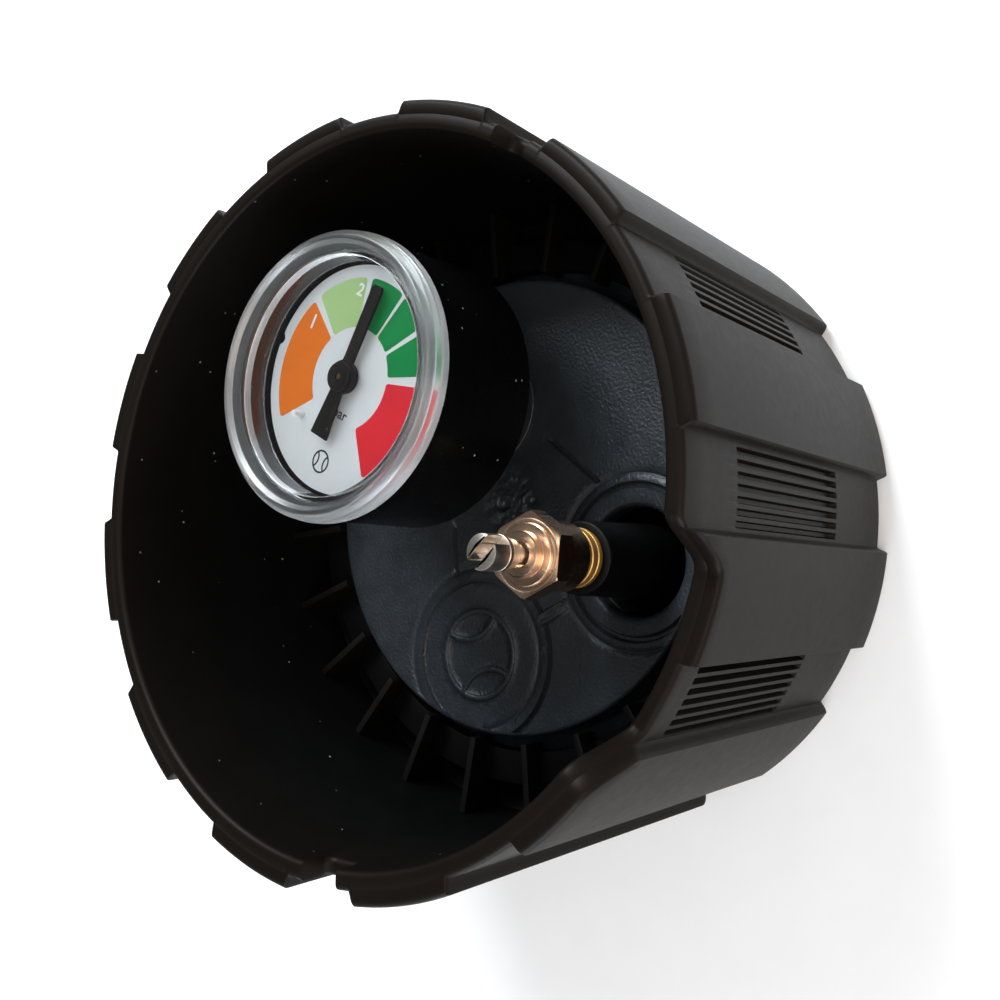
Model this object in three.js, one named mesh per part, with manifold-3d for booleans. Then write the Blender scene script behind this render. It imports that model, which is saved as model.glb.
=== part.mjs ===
// Screw-on head of a ball pressuriser: a grip collar around a turning pressure plate
// that carries a 40 mm pressure gauge and a tyre-type inflation valve.
// Millimetres, +Z up, origin at the centre of the collar's lower edge.
import * as THREE from 'three';
import { mergeVertices } from 'three/addons/utils/BufferGeometryUtils.js';
import Module from 'manifold-3d';

const wasm = await Module();
wasm.setup();

// ---------------------------------------------------------------- driving dimensions
const GAP = 0.3;                    // clearance kept between touching pieces
const RIM_Z = 66;                   // height of the collar's rim
const RIM_INNER_R = 48;             // inside of the open cup at the rim
const PANEL_R = 52.2;               // outside of the raised grip panels at the rim
const RECESS_R = 50.5;              // outside of the ribbed panels at the rim
const FOOT_SCALE = 0.96;            // collar's lower edge against its rim
const PANEL_COUNT = 12;
const PANEL_HALF_DEG = 8.3;
const PANEL_BEVEL_DEG = 0.8;
const GROOVES_PER_PANEL = 7;
const FOOT_CHAMFER = 1.5;           // edge taken off around the foot of the grip wall
const GROOVE_Z = [20, 52];
const GROOVE_WIDTH = 0.9;
const GROOVE_DEPTH = 0.8;
const GROOVE_PITCH_DEG = 1.65;
const WELL_R = 47.3;                // inside of the cup at its bottom
const TROUGH_Z = 22;                // floor between the collar wall and the shelf
const SHELF_Z = 26.5;               // shelf around the pressure plate
const SHELF_R = 42.6;
const SHELF_INNER_R = 37.6;
const RIB_COUNT = 24;
const RIB_THICKNESS = 1.1;
const RIB_TOP_Z = 30.2;
const RIB_INNER_R = 36.3;
const SOCKET_R = 41.2;              // root of the container thread
const SOCKET_WALL_R = 43.8;
const THREAD_CREST_R = 39.6;
const THREAD_STARTS = [0, 120, 240];
const THREAD_ARC_DEG = 110;
const THREAD_LEAD = 12;
const THREAD_FOOT_Z = 4;
const THREAD_HEIGHT = 1.8;
const SNAP_GROOVE = { radius: 42.4, low: 15, high: 17 };
const SNAP_RING_INNER_R = 38.2;
const GASKET = { innerR: 34.6, outerR: 37.9, footZ: 17.3 };   // lies inside the snap ring
const SEAT = { radius: 39.7, top: 23.9 };   // seat of the plate's flange
const SKIRT = { footR: 46.1, topR: 46.7, topZ: 19.4 };
const SCALLOP_AZIMUTH = -98;
const SCALLOP_DEPTH = 8.7;
const SCALLOP_HALF_TOP = 15.5;
const SCALLOP_HALF_FLOOR = 9.4;
const SLOT_AZIMUTHS = [-15, -165];
const SLOT_WIDTH = 6.2;
const SLOT_DEPTH = 4.6;
const SLOT_CORNER_R = 1.6;
const PLATE_TOP_Z = 30;
const PLATE_R = 35.2;
const FLANGE_R = 39.2;
const GAUGE_RADIUS = 15.8;          // gauge axis from the collar axis
const GAUGE_AZIMUTH = 35.5;
const CASE_R = 19.85;
const CASE_BACK_Z = 43.9;
const LENS_R = 20.3;
const LENS_TOP_Z = 66.7;
const LENS_FOOT_Z = 63.4;
const DIAL_Z = 60.3;
const STOP_PIN_Z = [58.8, 62.2];
const POINTER_Z = [61.4, 62];
const HUB_Z = [60.7, 62.7];
const STAFF_TOP_Z = 62.4;
const DIAL_UP_AZIMUTH = -10.5;      // direction of the dial's twelve o'clock
const POINTER_DEG = 0;              // reading at rest, clockwise from twelve o'clock
const GEAR_MODULE = 0.4;
const PINION_TEETH = 8;
const SECTOR_TEETH = 44;            // teeth of the whole circle that the sector is cut from
const VALVE_RADIUS = 24.6;          // valve axis from the collar axis
const VALVE_AZIMUTH = -95.5;
const RECESS_BORE_R = 7.85;
const BALL_LAND_RADIUS = 24;
const BALL_LAND_AZIMUTH = -175.5;

const DEG = Math.PI / 180;
const polar = (radius, azimuth) => [radius * Math.cos(azimuth * DEG), radius * Math.sin(azimuth * DEG)];
const GAUGE = polar(GAUGE_RADIUS, GAUGE_AZIMUTH);
const VALVE = polar(VALVE_RADIUS, VALVE_AZIMUTH);
const BALL_LAND = polar(BALL_LAND_RADIUS, BALL_LAND_AZIMUTH);

// ---------------------------------------------------------------- materials
const look = (color, roughness, metalness = 0) => new THREE.MeshStandardMaterial({
  color, roughness, metalness,
});
const shellPlastic = look(0x1b1a1a, 0.5);
const platePlastic = look(0x20242a, 0.6);
const casePlastic = look(0x0b0b0c, 0.25);
const nylon = look(0xd8d4c8, 0.5);
const rubber = look(0x151515, 0.8);
const brass = look(0xc79a3c, 0.3, 1);
const nickel = look(0xc9b8a6, 0.2, 1);
const steel = look(0xa8aaad, 0.35, 1);
const bronze = look(0xa9743a, 0.35, 1);
const dialWhite = look(0xf1f1ee, 0.6);
const pointerBlack = look(0x1a1a1a, 0.5);
const clear = new THREE.MeshStandardMaterial({
  color: 0xffffff, roughness: 0.05, transparent: true, opacity: 0.3,
});

// ---------------------------------------------------------------- solid helpers
function solid(geometry) {
  const bare = geometry.index ? geometry.toNonIndexed() : geometry.clone();
  bare.deleteAttribute('normal');
  bare.deleteAttribute('uv');
  const welded = mergeVertices(bare, 1e-4);
  return new wasm.Manifold(new wasm.Mesh({
    numProp: 3,
    vertProperties: new Float32Array(welded.attributes.position.array),
    triVerts: new Uint32Array(welded.index.array),
  }));
}

function geometryOf(manifold) {
  const mesh = manifold.getMesh();
  const geometry = new THREE.BufferGeometry();
  geometry.setAttribute('position', new THREE.BufferAttribute(new Float32Array(mesh.vertProperties), 3));
  geometry.setIndex(new THREE.BufferAttribute(new Uint32Array(mesh.triVerts), 1));
  return geometry;
}

// A turned piece about +Z from its closed outline of [radius, height] points.
function turned(profile, segments = 36) {
  const points = profile.map(([radius, height]) => new THREE.Vector2(radius, height));
  points.push(points[0].clone());
  const geometry = new THREE.LatheGeometry(points, segments);
  geometry.rotateX(Math.PI / 2);
  const piece = solid(geometry);
  return piece.volume() < 0 ? solid(flipped(geometry)) : piece;
}

function flipped(geometry) {
  const copy = geometry.clone();
  const index = Array.from(copy.index.array);
  for (let i = 0; i < index.length; i += 3) {
    [index[i], index[i + 1]] = [index[i + 1], index[i]];
  }
  copy.setIndex(index);
  return copy;
}

// A ring or disc between two radii and two heights.
function ring(innerRadius, outerRadius, low, high, segments = 36) {
  return turned([[innerRadius, low], [outerRadius, low], [outerRadius, high], [innerRadius, high]], segments);
}

const disc = (radius, low, high, segments = 36) => ring(0, radius, low, high, segments);

function extruded(shape, low, high, curveSegments = 12) {
  const depth = high - low;
  const geometry = new THREE.ExtrudeGeometry(shape, { depth, bevelEnabled: false, curveSegments });
  geometry.translate(0, 0, low);
  return solid(geometry);
}

const outline = (points) => new THREE.Shape(points.map(([x, y]) => new THREE.Vector2(x, y)));

function block(width, depth, low, high) {
  const geometry = new THREE.BoxGeometry(width, depth, high - low);
  geometry.translate(0, 0, (low + high) / 2);
  return solid(geometry);
}

function hexagon(acrossFlats) {
  const radius = acrossFlats / Math.sqrt(3);
  return outline(Array.from({ length: 6 }, (_, k) => polar(radius, 60 * k)));
}

const turnedBy = (piece, azimuth) => piece.rotate([0, 0, azimuth]);
const movedTo = (piece, [x, y], z = 0) => piece.translate([x, y, z]);

const head = new THREE.Group();

function add(name, piece, material) {
  const mesh = new THREE.Mesh(geometryOf(piece), material);
  mesh.name = name;
  head.add(mesh);
  return mesh;
}

// ---------------------------------------------------------------- collar
// Plan outline of the collar: raised panels with bevelled sides between recessed ones.
function collarOutline() {
  const points = [];
  const pitch = 360 / PANEL_COUNT;
  for (let k = 0; k < PANEL_COUNT; k += 1) {
    const centre = k * pitch;
    for (let step = -2; step <= 2; step += 1) {
      points.push(polar(PANEL_R, centre + (step / 2) * PANEL_HALF_DEG));
    }
    const start = PANEL_HALF_DEG + PANEL_BEVEL_DEG;
    for (let step = 0; step <= 3; step += 1) {
      points.push(polar(RECESS_R, centre + start + (step / 3) * (pitch - 2 * start)));
    }
  }
  return outline(points);
}

const wallScale = (z) => FOOT_SCALE + (1 - FOOT_SCALE) * (z / RIM_Z);
const footEdgeScale = (z) => FOOT_SCALE + (z - FOOT_CHAMFER) / PANEL_R;

// The collar's outline drawn up to the rim, its size following the height.
function taperedBlank(scaleAt) {
  const geometry = new THREE.ExtrudeGeometry(collarOutline(), { depth: RIM_Z, bevelEnabled: false });
  const position = geometry.attributes.position;
  for (let i = 0; i < position.count; i += 1) {
    const scale = scaleAt(position.getZ(i));
    position.setXY(i, position.getX(i) * scale, position.getY(i) * scale);
  }
  return solid(geometry);
}

// Space cut away above the shelf and the trough.
const cupSpace = () => turned([
  [0, RIM_Z + 4], [RIM_INNER_R + 0.3, RIM_Z + 4], [RIM_INNER_R, RIM_Z], [WELL_R, TROUGH_Z],
  [SHELF_R, TROUGH_Z], [SHELF_R, SHELF_Z], [0, SHELF_Z],
], 60);

// Socket for the container's neck, with the seat of the plate's flange and the snap ring's groove.
const socketSpace = () => turned([
  [0, SHELF_Z + 1], [SHELF_INNER_R, SHELF_Z + 1], [SHELF_INNER_R, SEAT.top], [SEAT.radius, SEAT.top],
  [SEAT.radius, SNAP_GROOVE.high], [SNAP_GROOVE.radius, SNAP_GROOVE.high],
  [SNAP_GROOVE.radius, SNAP_GROOVE.low], [SOCKET_R, SNAP_GROOVE.low],
  [SOCKET_R, 1.2], [SOCKET_R + 1.2, -1], [0, -1],
], 60);

// Hollow between the socket wall and the grip wall, open below.
const skirtSpace = () => turned([
  [SOCKET_WALL_R, -1], [SKIRT.footR, -1], [SKIRT.topR, SKIRT.topZ], [SOCKET_WALL_R, SKIRT.topZ],
], 60);

// One start of the quick thread: a ring sector that climbs with its angle.
function threadStart(azimuth) {
  const arc = THREAD_ARC_DEG * DEG;
  const shape = new THREE.Shape();
  shape.absarc(0, 0, SOCKET_R + 0.5, 0, arc, false);
  shape.absarc(0, 0, THREAD_CREST_R, arc, 0, true);
  const geometry = new THREE.ExtrudeGeometry(shape, {
    depth: THREAD_HEIGHT, bevelEnabled: false, curveSegments: 10,
  });
  const position = geometry.attributes.position;
  for (let i = 0; i < position.count; i += 1) {
    const turn = Math.atan2(position.getY(i), position.getX(i)) / (2 * Math.PI);
    position.setZ(i, position.getZ(i) + THREAD_LEAD * turn);
  }
  return movedTo(turnedBy(solid(geometry), azimuth), [0, 0], THREAD_FOOT_Z);
}

function fin(azimuth) {
  const shape = outline([
    [RIB_INNER_R, SHELF_Z - 0.6], [SHELF_R - 1, SHELF_Z - 0.6], [SHELF_R - 1, TROUGH_Z - 0.3],
    [WELL_R + 0.8, TROUGH_Z - 0.3], [WELL_R + 0.8, RIB_TOP_Z], [RIB_INNER_R, RIB_TOP_Z],
  ]);
  const upright = extruded(shape, -RIB_THICKNESS / 2, RIB_THICKNESS / 2).rotate([90, 0, 0]);
  return turnedBy(upright, azimuth);
}

const skirtWeb = (azimuth) => turnedBy(movedTo(block(4, 1.4, 3, 20), [44.8, 0]), azimuth);

// An outline of [across, height] points driven out through the wall at one azimuth.
function wallCutter(shape, azimuth) {
  const cutter = extruded(shape, 40, 60, 8).rotate([90, 0, 0]);
  return turnedBy(cutter, azimuth + 90);
}

// Smooth S-sided dip in the rim that gives a pump hose room.
function scallop() {
  const halfTop = SCALLOP_HALF_TOP;
  const halfFloor = SCALLOP_HALF_FLOOR;
  const floor = RIM_Z - SCALLOP_DEPTH;
  const bend = 2.6;
  const shape = new THREE.Shape();
  shape.moveTo(-halfTop, RIM_Z + 5);
  shape.lineTo(-halfTop, RIM_Z);
  shape.bezierCurveTo(-halfTop + bend, RIM_Z, -halfFloor - bend, floor, -halfFloor, floor);
  shape.lineTo(halfFloor, floor);
  shape.bezierCurveTo(halfFloor + bend, floor, halfTop - bend, RIM_Z, halfTop, RIM_Z);
  shape.lineTo(halfTop, RIM_Z + 5);
  return wallCutter(shape, SCALLOP_AZIMUTH);
}

function rimSlot(azimuth) {
  const half = SLOT_WIDTH / 2;
  const corner = SLOT_CORNER_R;
  const floor = RIM_Z - SLOT_DEPTH;
  const shape = new THREE.Shape();
  shape.moveTo(-half, RIM_Z + 3);
  shape.lineTo(-half, floor + corner);
  shape.absarc(-half + corner, floor + corner, corner, Math.PI, 1.5 * Math.PI, false);
  shape.absarc(half - corner, floor + corner, corner, 1.5 * Math.PI, 2 * Math.PI, false);
  shape.lineTo(half, RIM_Z + 3);
  return wallCutter(shape, azimuth);
}

// Upright groove of a ribbed panel.
function gripGroove(azimuth) {
  const [low, high] = GROOVE_Z;
  const groove = block(2, GROOVE_WIDTH, low, high);
  const lean = Math.atan((1 - FOOT_SCALE) * RECESS_R / RIM_Z) / DEG;
  const middle = (low + high) / 2;
  const radius = RECESS_R * (FOOT_SCALE + (1 - FOOT_SCALE) * (middle / RIM_Z));
  const leaning = movedTo(groove, [0, 0], -middle).rotate([0, lean, 0]);
  return turnedBy(movedTo(leaning, [radius + 1 - GROOVE_DEPTH, 0], middle), azimuth);
}

function gripGrooves() {
  const pitch = 360 / PANEL_COUNT;
  const cuts = [];
  for (let panel = 0; panel < PANEL_COUNT; panel += 1) {
    for (let k = 0; k < GROOVES_PER_PANEL; k += 1) {
      const offset = (k - (GROOVES_PER_PANEL - 1) / 2) * GROOVE_PITCH_DEG;
      cuts.push(gripGroove((panel + 0.5) * pitch + offset));
    }
  }
  return cuts;
}

function gripShell() {
  let shell = taperedBlank(wallScale).intersect(taperedBlank(footEdgeScale));
  shell = shell.subtract(cupSpace()).subtract(skirtSpace()).subtract(socketSpace());
  for (let k = 0; k < RIB_COUNT; k += 1) {
    const azimuth = (k + 0.5) * (360 / RIB_COUNT);
    shell = shell.add(fin(azimuth)).add(skirtWeb(azimuth));
  }
  for (const azimuth of THREAD_STARTS) {
    shell = shell.add(threadStart(azimuth));
  }
  shell = shell.subtract(scallop());
  for (const azimuth of SLOT_AZIMUTHS) {
    shell = shell.subtract(rimSlot(azimuth));
  }
  return shell.subtract(wasm.Manifold.union(gripGrooves()));
}

// Split ring that snaps into the socket below the plate's flange.
function snapRing() {
  const shape = new THREE.Shape();
  const halfGap = 5 * DEG;
  shape.absarc(0, 0, 42.1, halfGap, 2 * Math.PI - halfGap, false);
  shape.absarc(0, 0, SNAP_RING_INNER_R, 2 * Math.PI - halfGap, halfGap, true);
  return extruded(shape, 15.3, 16.7, 24);
}

// ---------------------------------------------------------------- pressure plate
const PLATE_FOOT_Z = 20.2;
const PLATE_SKIN = 3;
const RECESS_FLOOR = [14, 16.5];
const LAND_GROOVE_DEPTH = 0.8;
const LINE_GROOVE_WIDTH = 0.8;
const GATE_MARK_R = 4.7;
const PLATE_RIB_COUNT = 6;

// Groove that outlines a round land on the plate.
function landGroove(centre, radius, width) {
  return movedTo(ring(radius, radius + width, PLATE_TOP_Z - LAND_GROOVE_DEPTH, PLATE_TOP_Z + 1), centre);
}

function straightGroove([x0, y0], [x1, y1]) {
  const length = Math.hypot(x1 - x0, y1 - y0);
  const azimuth = Math.atan2(y1 - y0, x1 - x0) / DEG;
  const cutter = block(length, LINE_GROOVE_WIDTH, PLATE_TOP_Z - LAND_GROOVE_DEPTH, PLATE_TOP_Z + 1);
  return movedTo(turnedBy(cutter, azimuth), [(x0 + x1) / 2, (y0 + y1) / 2]);
}

function pressurePlate() {
  const foot = PLATE_FOOT_Z;
  const top = PLATE_TOP_Z;
  let plate = turned([
    [0, top - PLATE_SKIN], [32.6, top - PLATE_SKIN], [32.6, foot], [FLANGE_R, foot], [FLANGE_R, foot + 3.4],
    [PLATE_R, foot + 3.4], [PLATE_R, top - 0.5], [PLATE_R - 0.5, top], [0, top],
  ], 60);
  for (let k = 0; k < PLATE_RIB_COUNT; k += 1) {
    const rib = movedTo(block(28, 1.4, 22.5, top - 1), [19.5, 0]);
    plate = plate.add(turnedBy(rib, (360 / PLATE_RIB_COUNT) * k + 5));
  }
  const boss = disc(8, 22, 34, 24).add(disc(10, 24, top + 0.8, 24));
  plate = plate.add(movedTo(boss, GAUGE)).subtract(movedTo(disc(4.9, 20, 36, 24), GAUGE));
  const [low, high] = RECESS_FLOOR;
  const recessWall = disc(RECESS_BORE_R + 2, low, top - 1);
  const recess = turned([
    [0, high], [RECESS_BORE_R, high], [RECESS_BORE_R, top - 0.8], [RECESS_BORE_R + 0.8, top],
    [RECESS_BORE_R + 0.8, top + 1], [0, top + 1],
  ]);
  const valveSpace = recess.add(disc(4.3, low - 1, high + 1));
  plate = plate.add(movedTo(recessWall, VALVE)).subtract(movedTo(valveSpace, VALVE));
  plate = plate.subtract(landGroove(VALVE, 10.6, 0.9));
  plate = plate.subtract(landGroove(BALL_LAND, 13, 0.8));
  plate = plate.subtract(straightGroove([-6.8, 9.3], [-13.2, 6.7]));
  plate = plate.subtract(straightGroove([10.9, -4.7], [7.0, -14.9]));
  return plate.subtract(disc(GATE_MARK_R, top - 0.5, top + 1, 24)).add(ballSign());
}

const gasket = () => ring(GASKET.innerR, GASKET.outerR, GASKET.footZ, PLATE_FOOT_Z - GAP, 40);

// Generic ball sign on the round land: a rim with two seam arcs.
function ballSign() {
  const low = PLATE_TOP_Z - 0.3;
  const high = PLATE_TOP_Z + 0.35;
  const radius = 7;
  let sign = ring(radius - 0.9, radius, low, high, 28);
  const inside = disc(radius - 0.4, low, high, 28);
  for (const side of [-1, 1]) {
    const seam = movedTo(ring(5.6, 6.5, low, high, 28), [side * 8.6, 0]);
    sign = sign.add(seam.intersect(inside));
  }
  return movedTo(turnedBy(sign, 35), BALL_LAND);
}

// ---------------------------------------------------------------- gauge
const CASE_FLOOR = 1.6;
const CASE_MOUTH_Z = LENS_FOOT_Z - GAP;
const CASE_INNER_R = 17.9;

function gaugeCase() {
  const back = CASE_BACK_Z;
  return turned([
    [5.6, back], [CASE_R - 1.4, back], [CASE_R - 0.4, back + 0.4], [CASE_R, back + 1.4],
    [CASE_R, CASE_MOUTH_Z], [CASE_INNER_R, CASE_MOUTH_Z],
    [CASE_INNER_R, back + CASE_FLOOR], [5.6, back + CASE_FLOOR],
  ], 40);
}

function gaugeLens() {
  const top = LENS_TOP_Z;
  return turned([
    [0, top - 1.4], [16.9, top - 1.4], [16.9, LENS_FOOT_Z - 2.2], [17.6, LENS_FOOT_Z - 2.2],
    [17.6, LENS_FOOT_Z], [LENS_R, LENS_FOOT_Z], [LENS_R, top - 0.9], [LENS_R - 0.9, top],
    [18.7, top], [18.1, top - 0.5], [0, top - 0.5],
  ], 40);
}

// Brass connection: pipe thread, hexagon and the block inside the case, drilled from below.
function gaugeSocket() {
  const drilling = disc(1.6, 20, 48, 16);
  const shank = disc(4.6, 22, 36, 24);
  const nut = extruded(hexagon(11), 35.6, CASE_BACK_Z - GAP);
  const neck = disc(5.3, 40, 46, 24);
  const inner = disc(6.4, CASE_BACK_Z + CASE_FLOOR + GAP, 49, 24);
  const foot = movedTo(block(9, 4, 46.4, 49), [-10, 0]);
  return shank.add(nut).add(neck).add(inner).add(foot).subtract(drilling);
}

const socketSeal = () => ring(4.9, 7.6, 34 + GAP, 35.3, 24);

// Flattened spring tube bent to a C around the movement.
function bourdonTube() {
  const shape = new THREE.Shape();
  shape.absarc(0, 0, 15.6, 178 * DEG, 440 * DEG, false);
  shape.absarc(0, 0, 13.9, 440 * DEG, 178 * DEG, true);
  return extruded(shape, 49 + GAP, 54.5, 20);
}

const MOVEMENT = { back: [49.3, 50.3], front: [57.4, 58.2] };
const SECTOR_PIVOT = [GEAR_MODULE * (PINION_TEETH + SECTOR_TEETH) / 2, 0];
const PILLARS = [[0, 6.6], [0, -6.6]];

function movementPlate([low, high], staffHole) {
  const shape = outline([[-4, -8], [4, -8], [12, -2.4], [12, 2.4], [4, 8], [-4, 8]]);
  const plate = extruded(shape, low, high);
  const sectorHole = movedTo(disc(0.8, low - 1, high + 1, 16), SECTOR_PIVOT);
  const pivots = disc(staffHole, low - 1, high + 1, 16).add(sectorHole);
  const holes = PILLARS.map((place) => movedTo(disc(1, low - 1, high + 1, 16), place));
  return plate.subtract(pivots).subtract(holes[0]).subtract(holes[1]);
}

const pillar = () => turned([
  [0, 49.6], [0.85, 49.6], [0.85, 50.6], [1.5, 50.6], [1.5, 57.1], [0.85, 57.1], [0.85, 58.5],
  [1.5, 58.5], [1.5, 59.2], [0, 59.2],
], 16);

// Straight-sided teeth with plenty of backlash, as in a gauge movement.
function toothOutline(teeth, from, to) {
  const pitchRadius = GEAR_MODULE * teeth / 2;
  const root = pitchRadius - 1.05 * GEAR_MODULE;
  const tip = pitchRadius + 0.75 * GEAR_MODULE;
  const step = 360 / teeth;
  const points = [];
  for (let k = from; k < to; k += 1) {
    const centre = k * step;
    points.push(polar(root, centre - 0.25 * step), polar(tip, centre - 0.09 * step));
    points.push(polar(tip, centre + 0.09 * step), polar(root, centre + 0.25 * step));
  }
  return points;
}

function pinionStaff() {
  const teeth = extruded(outline(toothOutline(PINION_TEETH, 0, PINION_TEETH)), 52.4, 54.6);
  const phased = turnedBy(teeth, 180 / PINION_TEETH);
  const staff = turned([[0, 49.5], [0.6, 49.5], [0.6, STAFF_TOP_Z], [0, STAFF_TOP_Z]], 16);
  const collar = disc(1, 50.6, 57.1, 16);
  return phased.add(staff).add(collar);
}

function sectorGear() {
  const points = [[1.9, -1.9], ...toothOutline(SECTOR_TEETH, -4, 5), [1.9, 1.9], [-1.2, 1.4], [-1.2, -1.4]];
  const arm = extruded(outline(points), 52.9, 54.1);
  const window = extruded(outline([[3, -1], [7, -2.6], [7, 2.6], [3, 1]]), 52, 55);
  const staff = turned([[0, 49.5], [0.6, 49.5], [0.6, 58], [0, 58]], 16);
  const hub = disc(1.3, 50.6, 57.1, 16);
  return arm.subtract(window).add(staff).add(hub).rotate([0, 0, 180]);
}

function gaugeDial() {
  const low = DIAL_Z - 0.7;
  let dial = disc(16.6, low, DIAL_Z, 40).subtract(disc(1.1, low - 1, DIAL_Z + 1, 16));
  dial = dial.subtract(movedTo(disc(0.7, low - 1, DIAL_Z + 1, 16), polar(16.8, 180)));
  return dial.subtract(movedTo(disc(0.75, low - 1, DIAL_Z + 1, 16), stopPinPlace()));
}

const stopPinPlace = () => polar(10.3, 232.6);

const stopPin = () => disc(0.45, ...STOP_PIN_Z, 16);

// Ring that carries the dial on the case wall.
const dialRing = () => ring(14.9, 17.6, DIAL_Z - 2.3, DIAL_Z - 1, 40);

function pointer() {
  const blade = outline([
    [-1.7, -9.1], [1.7, -9.1], [1.1, -2.6], [0.95, 0], [0.95, 6], [1.05, 13.3], [0.75, 13.9],
    [-0.75, 13.9], [-1.05, 13.3], [-0.95, 6], [-0.95, 0], [-1.1, -2.6],
  ]);
  const blank = extruded(blade, ...POINTER_Z).add(disc(2.6, ...POINTER_Z, 24));
  return blank.subtract(disc(1.5, POINTER_Z[0] - 1, POINTER_Z[1] + 1, 24));
}

function pointerHub() {
  const [low, high] = HUB_Z;
  return turned([
    [0.8, low], [2, low], [2, low + 0.4], [1.2, low + 0.4], [1.2, high - 0.4], [2.1, high - 0.4],
    [2.1, high], [0.8, high],
  ], 24);
}

function buildGauge() {
  const up = DIAL_UP_AZIMUTH - 90;
  const place = (piece) => movedTo(turnedBy(piece, up), GAUGE);
  add('gauge_case', place(gaugeCase()), casePlastic);
  add('gauge_lens', place(gaugeLens()), clear);
  add('gauge_socket', place(gaugeSocket()), brass);
  add('socket_seal', place(socketSeal()), rubber);
  add('bourdon_tube', place(bourdonTube()), bronze);
  add('movement_back_plate', place(movementPlate(MOVEMENT.back, 0.8)), brass);
  add('movement_front_plate', place(movementPlate(MOVEMENT.front, 0.8)), brass);
  PILLARS.forEach((spot, k) => add(`movement_pillar_${k + 1}`, place(movedTo(pillar(), spot)), steel));
  const sectorRest = POINTER_DEG * PINION_TEETH / SECTOR_TEETH;
  add('sector_gear', place(movedTo(turnedBy(sectorGear(), sectorRest), SECTOR_PIVOT)), brass);
  add('pinion_staff', place(turnedBy(pinionStaff(), -POINTER_DEG)), steel);
  add('dial_ring', place(dialRing()), casePlastic);
  add('gauge_dial', place(gaugeDial()), dialWhite);
  add('stop_pin', place(movedTo(stopPin(), stopPinPlace())), dialWhite);
  add('gauge_pointer', place(turnedBy(pointer(), -POINTER_DEG)), pointerBlack);
  add('pointer_hub', place(turnedBy(pointerHub(), -POINTER_DEG)), pointerBlack);
}

// ---------------------------------------------------------------- valve
const SLEEVE_TOP_Z = 44.4;
const STEM_TOP_Z = 53.4;
const CAP_MOUTH_Z = 48.5;
const HEX_Z = [53.2, 56.3];
const KEY_TIP_Z = 65.6;

const valveSleeve = () => turned([
  [3.5, 16.8], [7, 16.8], [7, 18.4], [5.7, 19.6], [5, 40], [5, SLEEVE_TOP_Z - 0.4],
  [4.6, SLEEVE_TOP_Z], [3.5, SLEEVE_TOP_Z],
], 28);

// Threaded brass tube from below the plate to the valve's mouth.
function valveStem() {
  const body = turned([
    [0, 9], [3.6, 9], [3.9, 9.3], [3.9, 16.5], [3.2, 16.5], [3.2, 44.7], [4, 44.7], [4, 48.2], [3.75, 48.2],
    [3.75, STEM_TOP_Z - 0.4], [3.4, STEM_TOP_Z], [0, STEM_TOP_Z],
  ], 28);
  const grooves = [45.4, 46.3, 47.2].map((z) => ring(3.75, 5, z, z + 0.35, 28));
  const bore = turned([[0, 8], [1.6, 8], [1.6, 40], [2.65, 40], [2.65, 54], [0, 54]], 24);
  return grooves.reduce((stem, groove) => stem.subtract(groove), body).subtract(bore);
}

const valveWasher = () => ring(4.2, 7, 12.7, 13.7, 24);

function valveNut() {
  return extruded(hexagon(11), 9.9, 12.4).subtract(disc(4.05, 9, 13, 28));
}

const coreBody = () => ring(0.85, 2.35, 47.9, 52.8, 24);

function corePin() {
  const rod = disc(0.55, 41, 53.1, 16);
  return rod.add(disc(1.9, 46.4, 47.6, 24));
}

// Core spring: a coil of round wire around the pin.
function coreSpring() {
  const turns = 4;
  const low = 40.9;
  const rise = 5;
  class Coil extends THREE.Curve {
    getPoint(t, target = new THREE.Vector3()) {
      const angle = 2 * Math.PI * turns * t;
      return target.set(1.15 * Math.cos(angle), 1.15 * Math.sin(angle), low + rise * t);
    }
  }
  const wire = new THREE.Shape();
  wire.absarc(0, 0, 0.2, 0, 2 * Math.PI, false);
  const geometry = new THREE.ExtrudeGeometry(wire, { steps: 32, extrudePath: new Coil(), curveSegments: 3 });
  return solid(geometry);
}

// Hexagonal cap with a turned face, screwed over the stem.
function valveCap() {
  const [low, high] = HEX_Z;
  const skirt = disc(4.6, CAP_MOUTH_Z, low + 0.5, 28);
  const chamfer = turned([
    [0, low], [5.2, low], [5.65, low + 0.4], [5.65, high - 0.4], [5.1, high], [0, high],
  ], 28);
  const hex = extruded(hexagon(9.8), low, high).intersect(chamfer);
  const steps = disc(4, high - 0.5, high + 0.4, 28).add(disc(2.9, high, high + 1.8, 24));
  const bore = turned([[0, 47], [4.1, 47], [4.1, 54.9], [0, 54.9]], 24);
  const pocket = disc(1.6, high + 0.4, high + 3, 24);
  return skirt.add(hex).add(steps).subtract(bore).subtract(pocket);
}

// Forked key on the cap that unscrews a valve core.
function capKey() {
  const [, high] = HEX_Z;
  const neck = disc(1.3, high + 0.4 + GAP, 60, 24);
  const shoulder = turned([[0, 59.4], [1.9, 59.4], [1.9, 61.2], [2.45, 61.9], [2.45, KEY_TIP_Z - 0.3],
    [2.15, KEY_TIP_Z], [0, KEY_TIP_Z]], 24);
  const hole = disc(0.95, 62.2, 67, 16);
  const slot = block(7, 1.5, 62.6, 67);
  return neck.add(shoulder).subtract(hole).subtract(slot);
}

const capSeal = () => ring(2.7, 3.8, STEM_TOP_Z + GAP, 54.6, 24);

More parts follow.
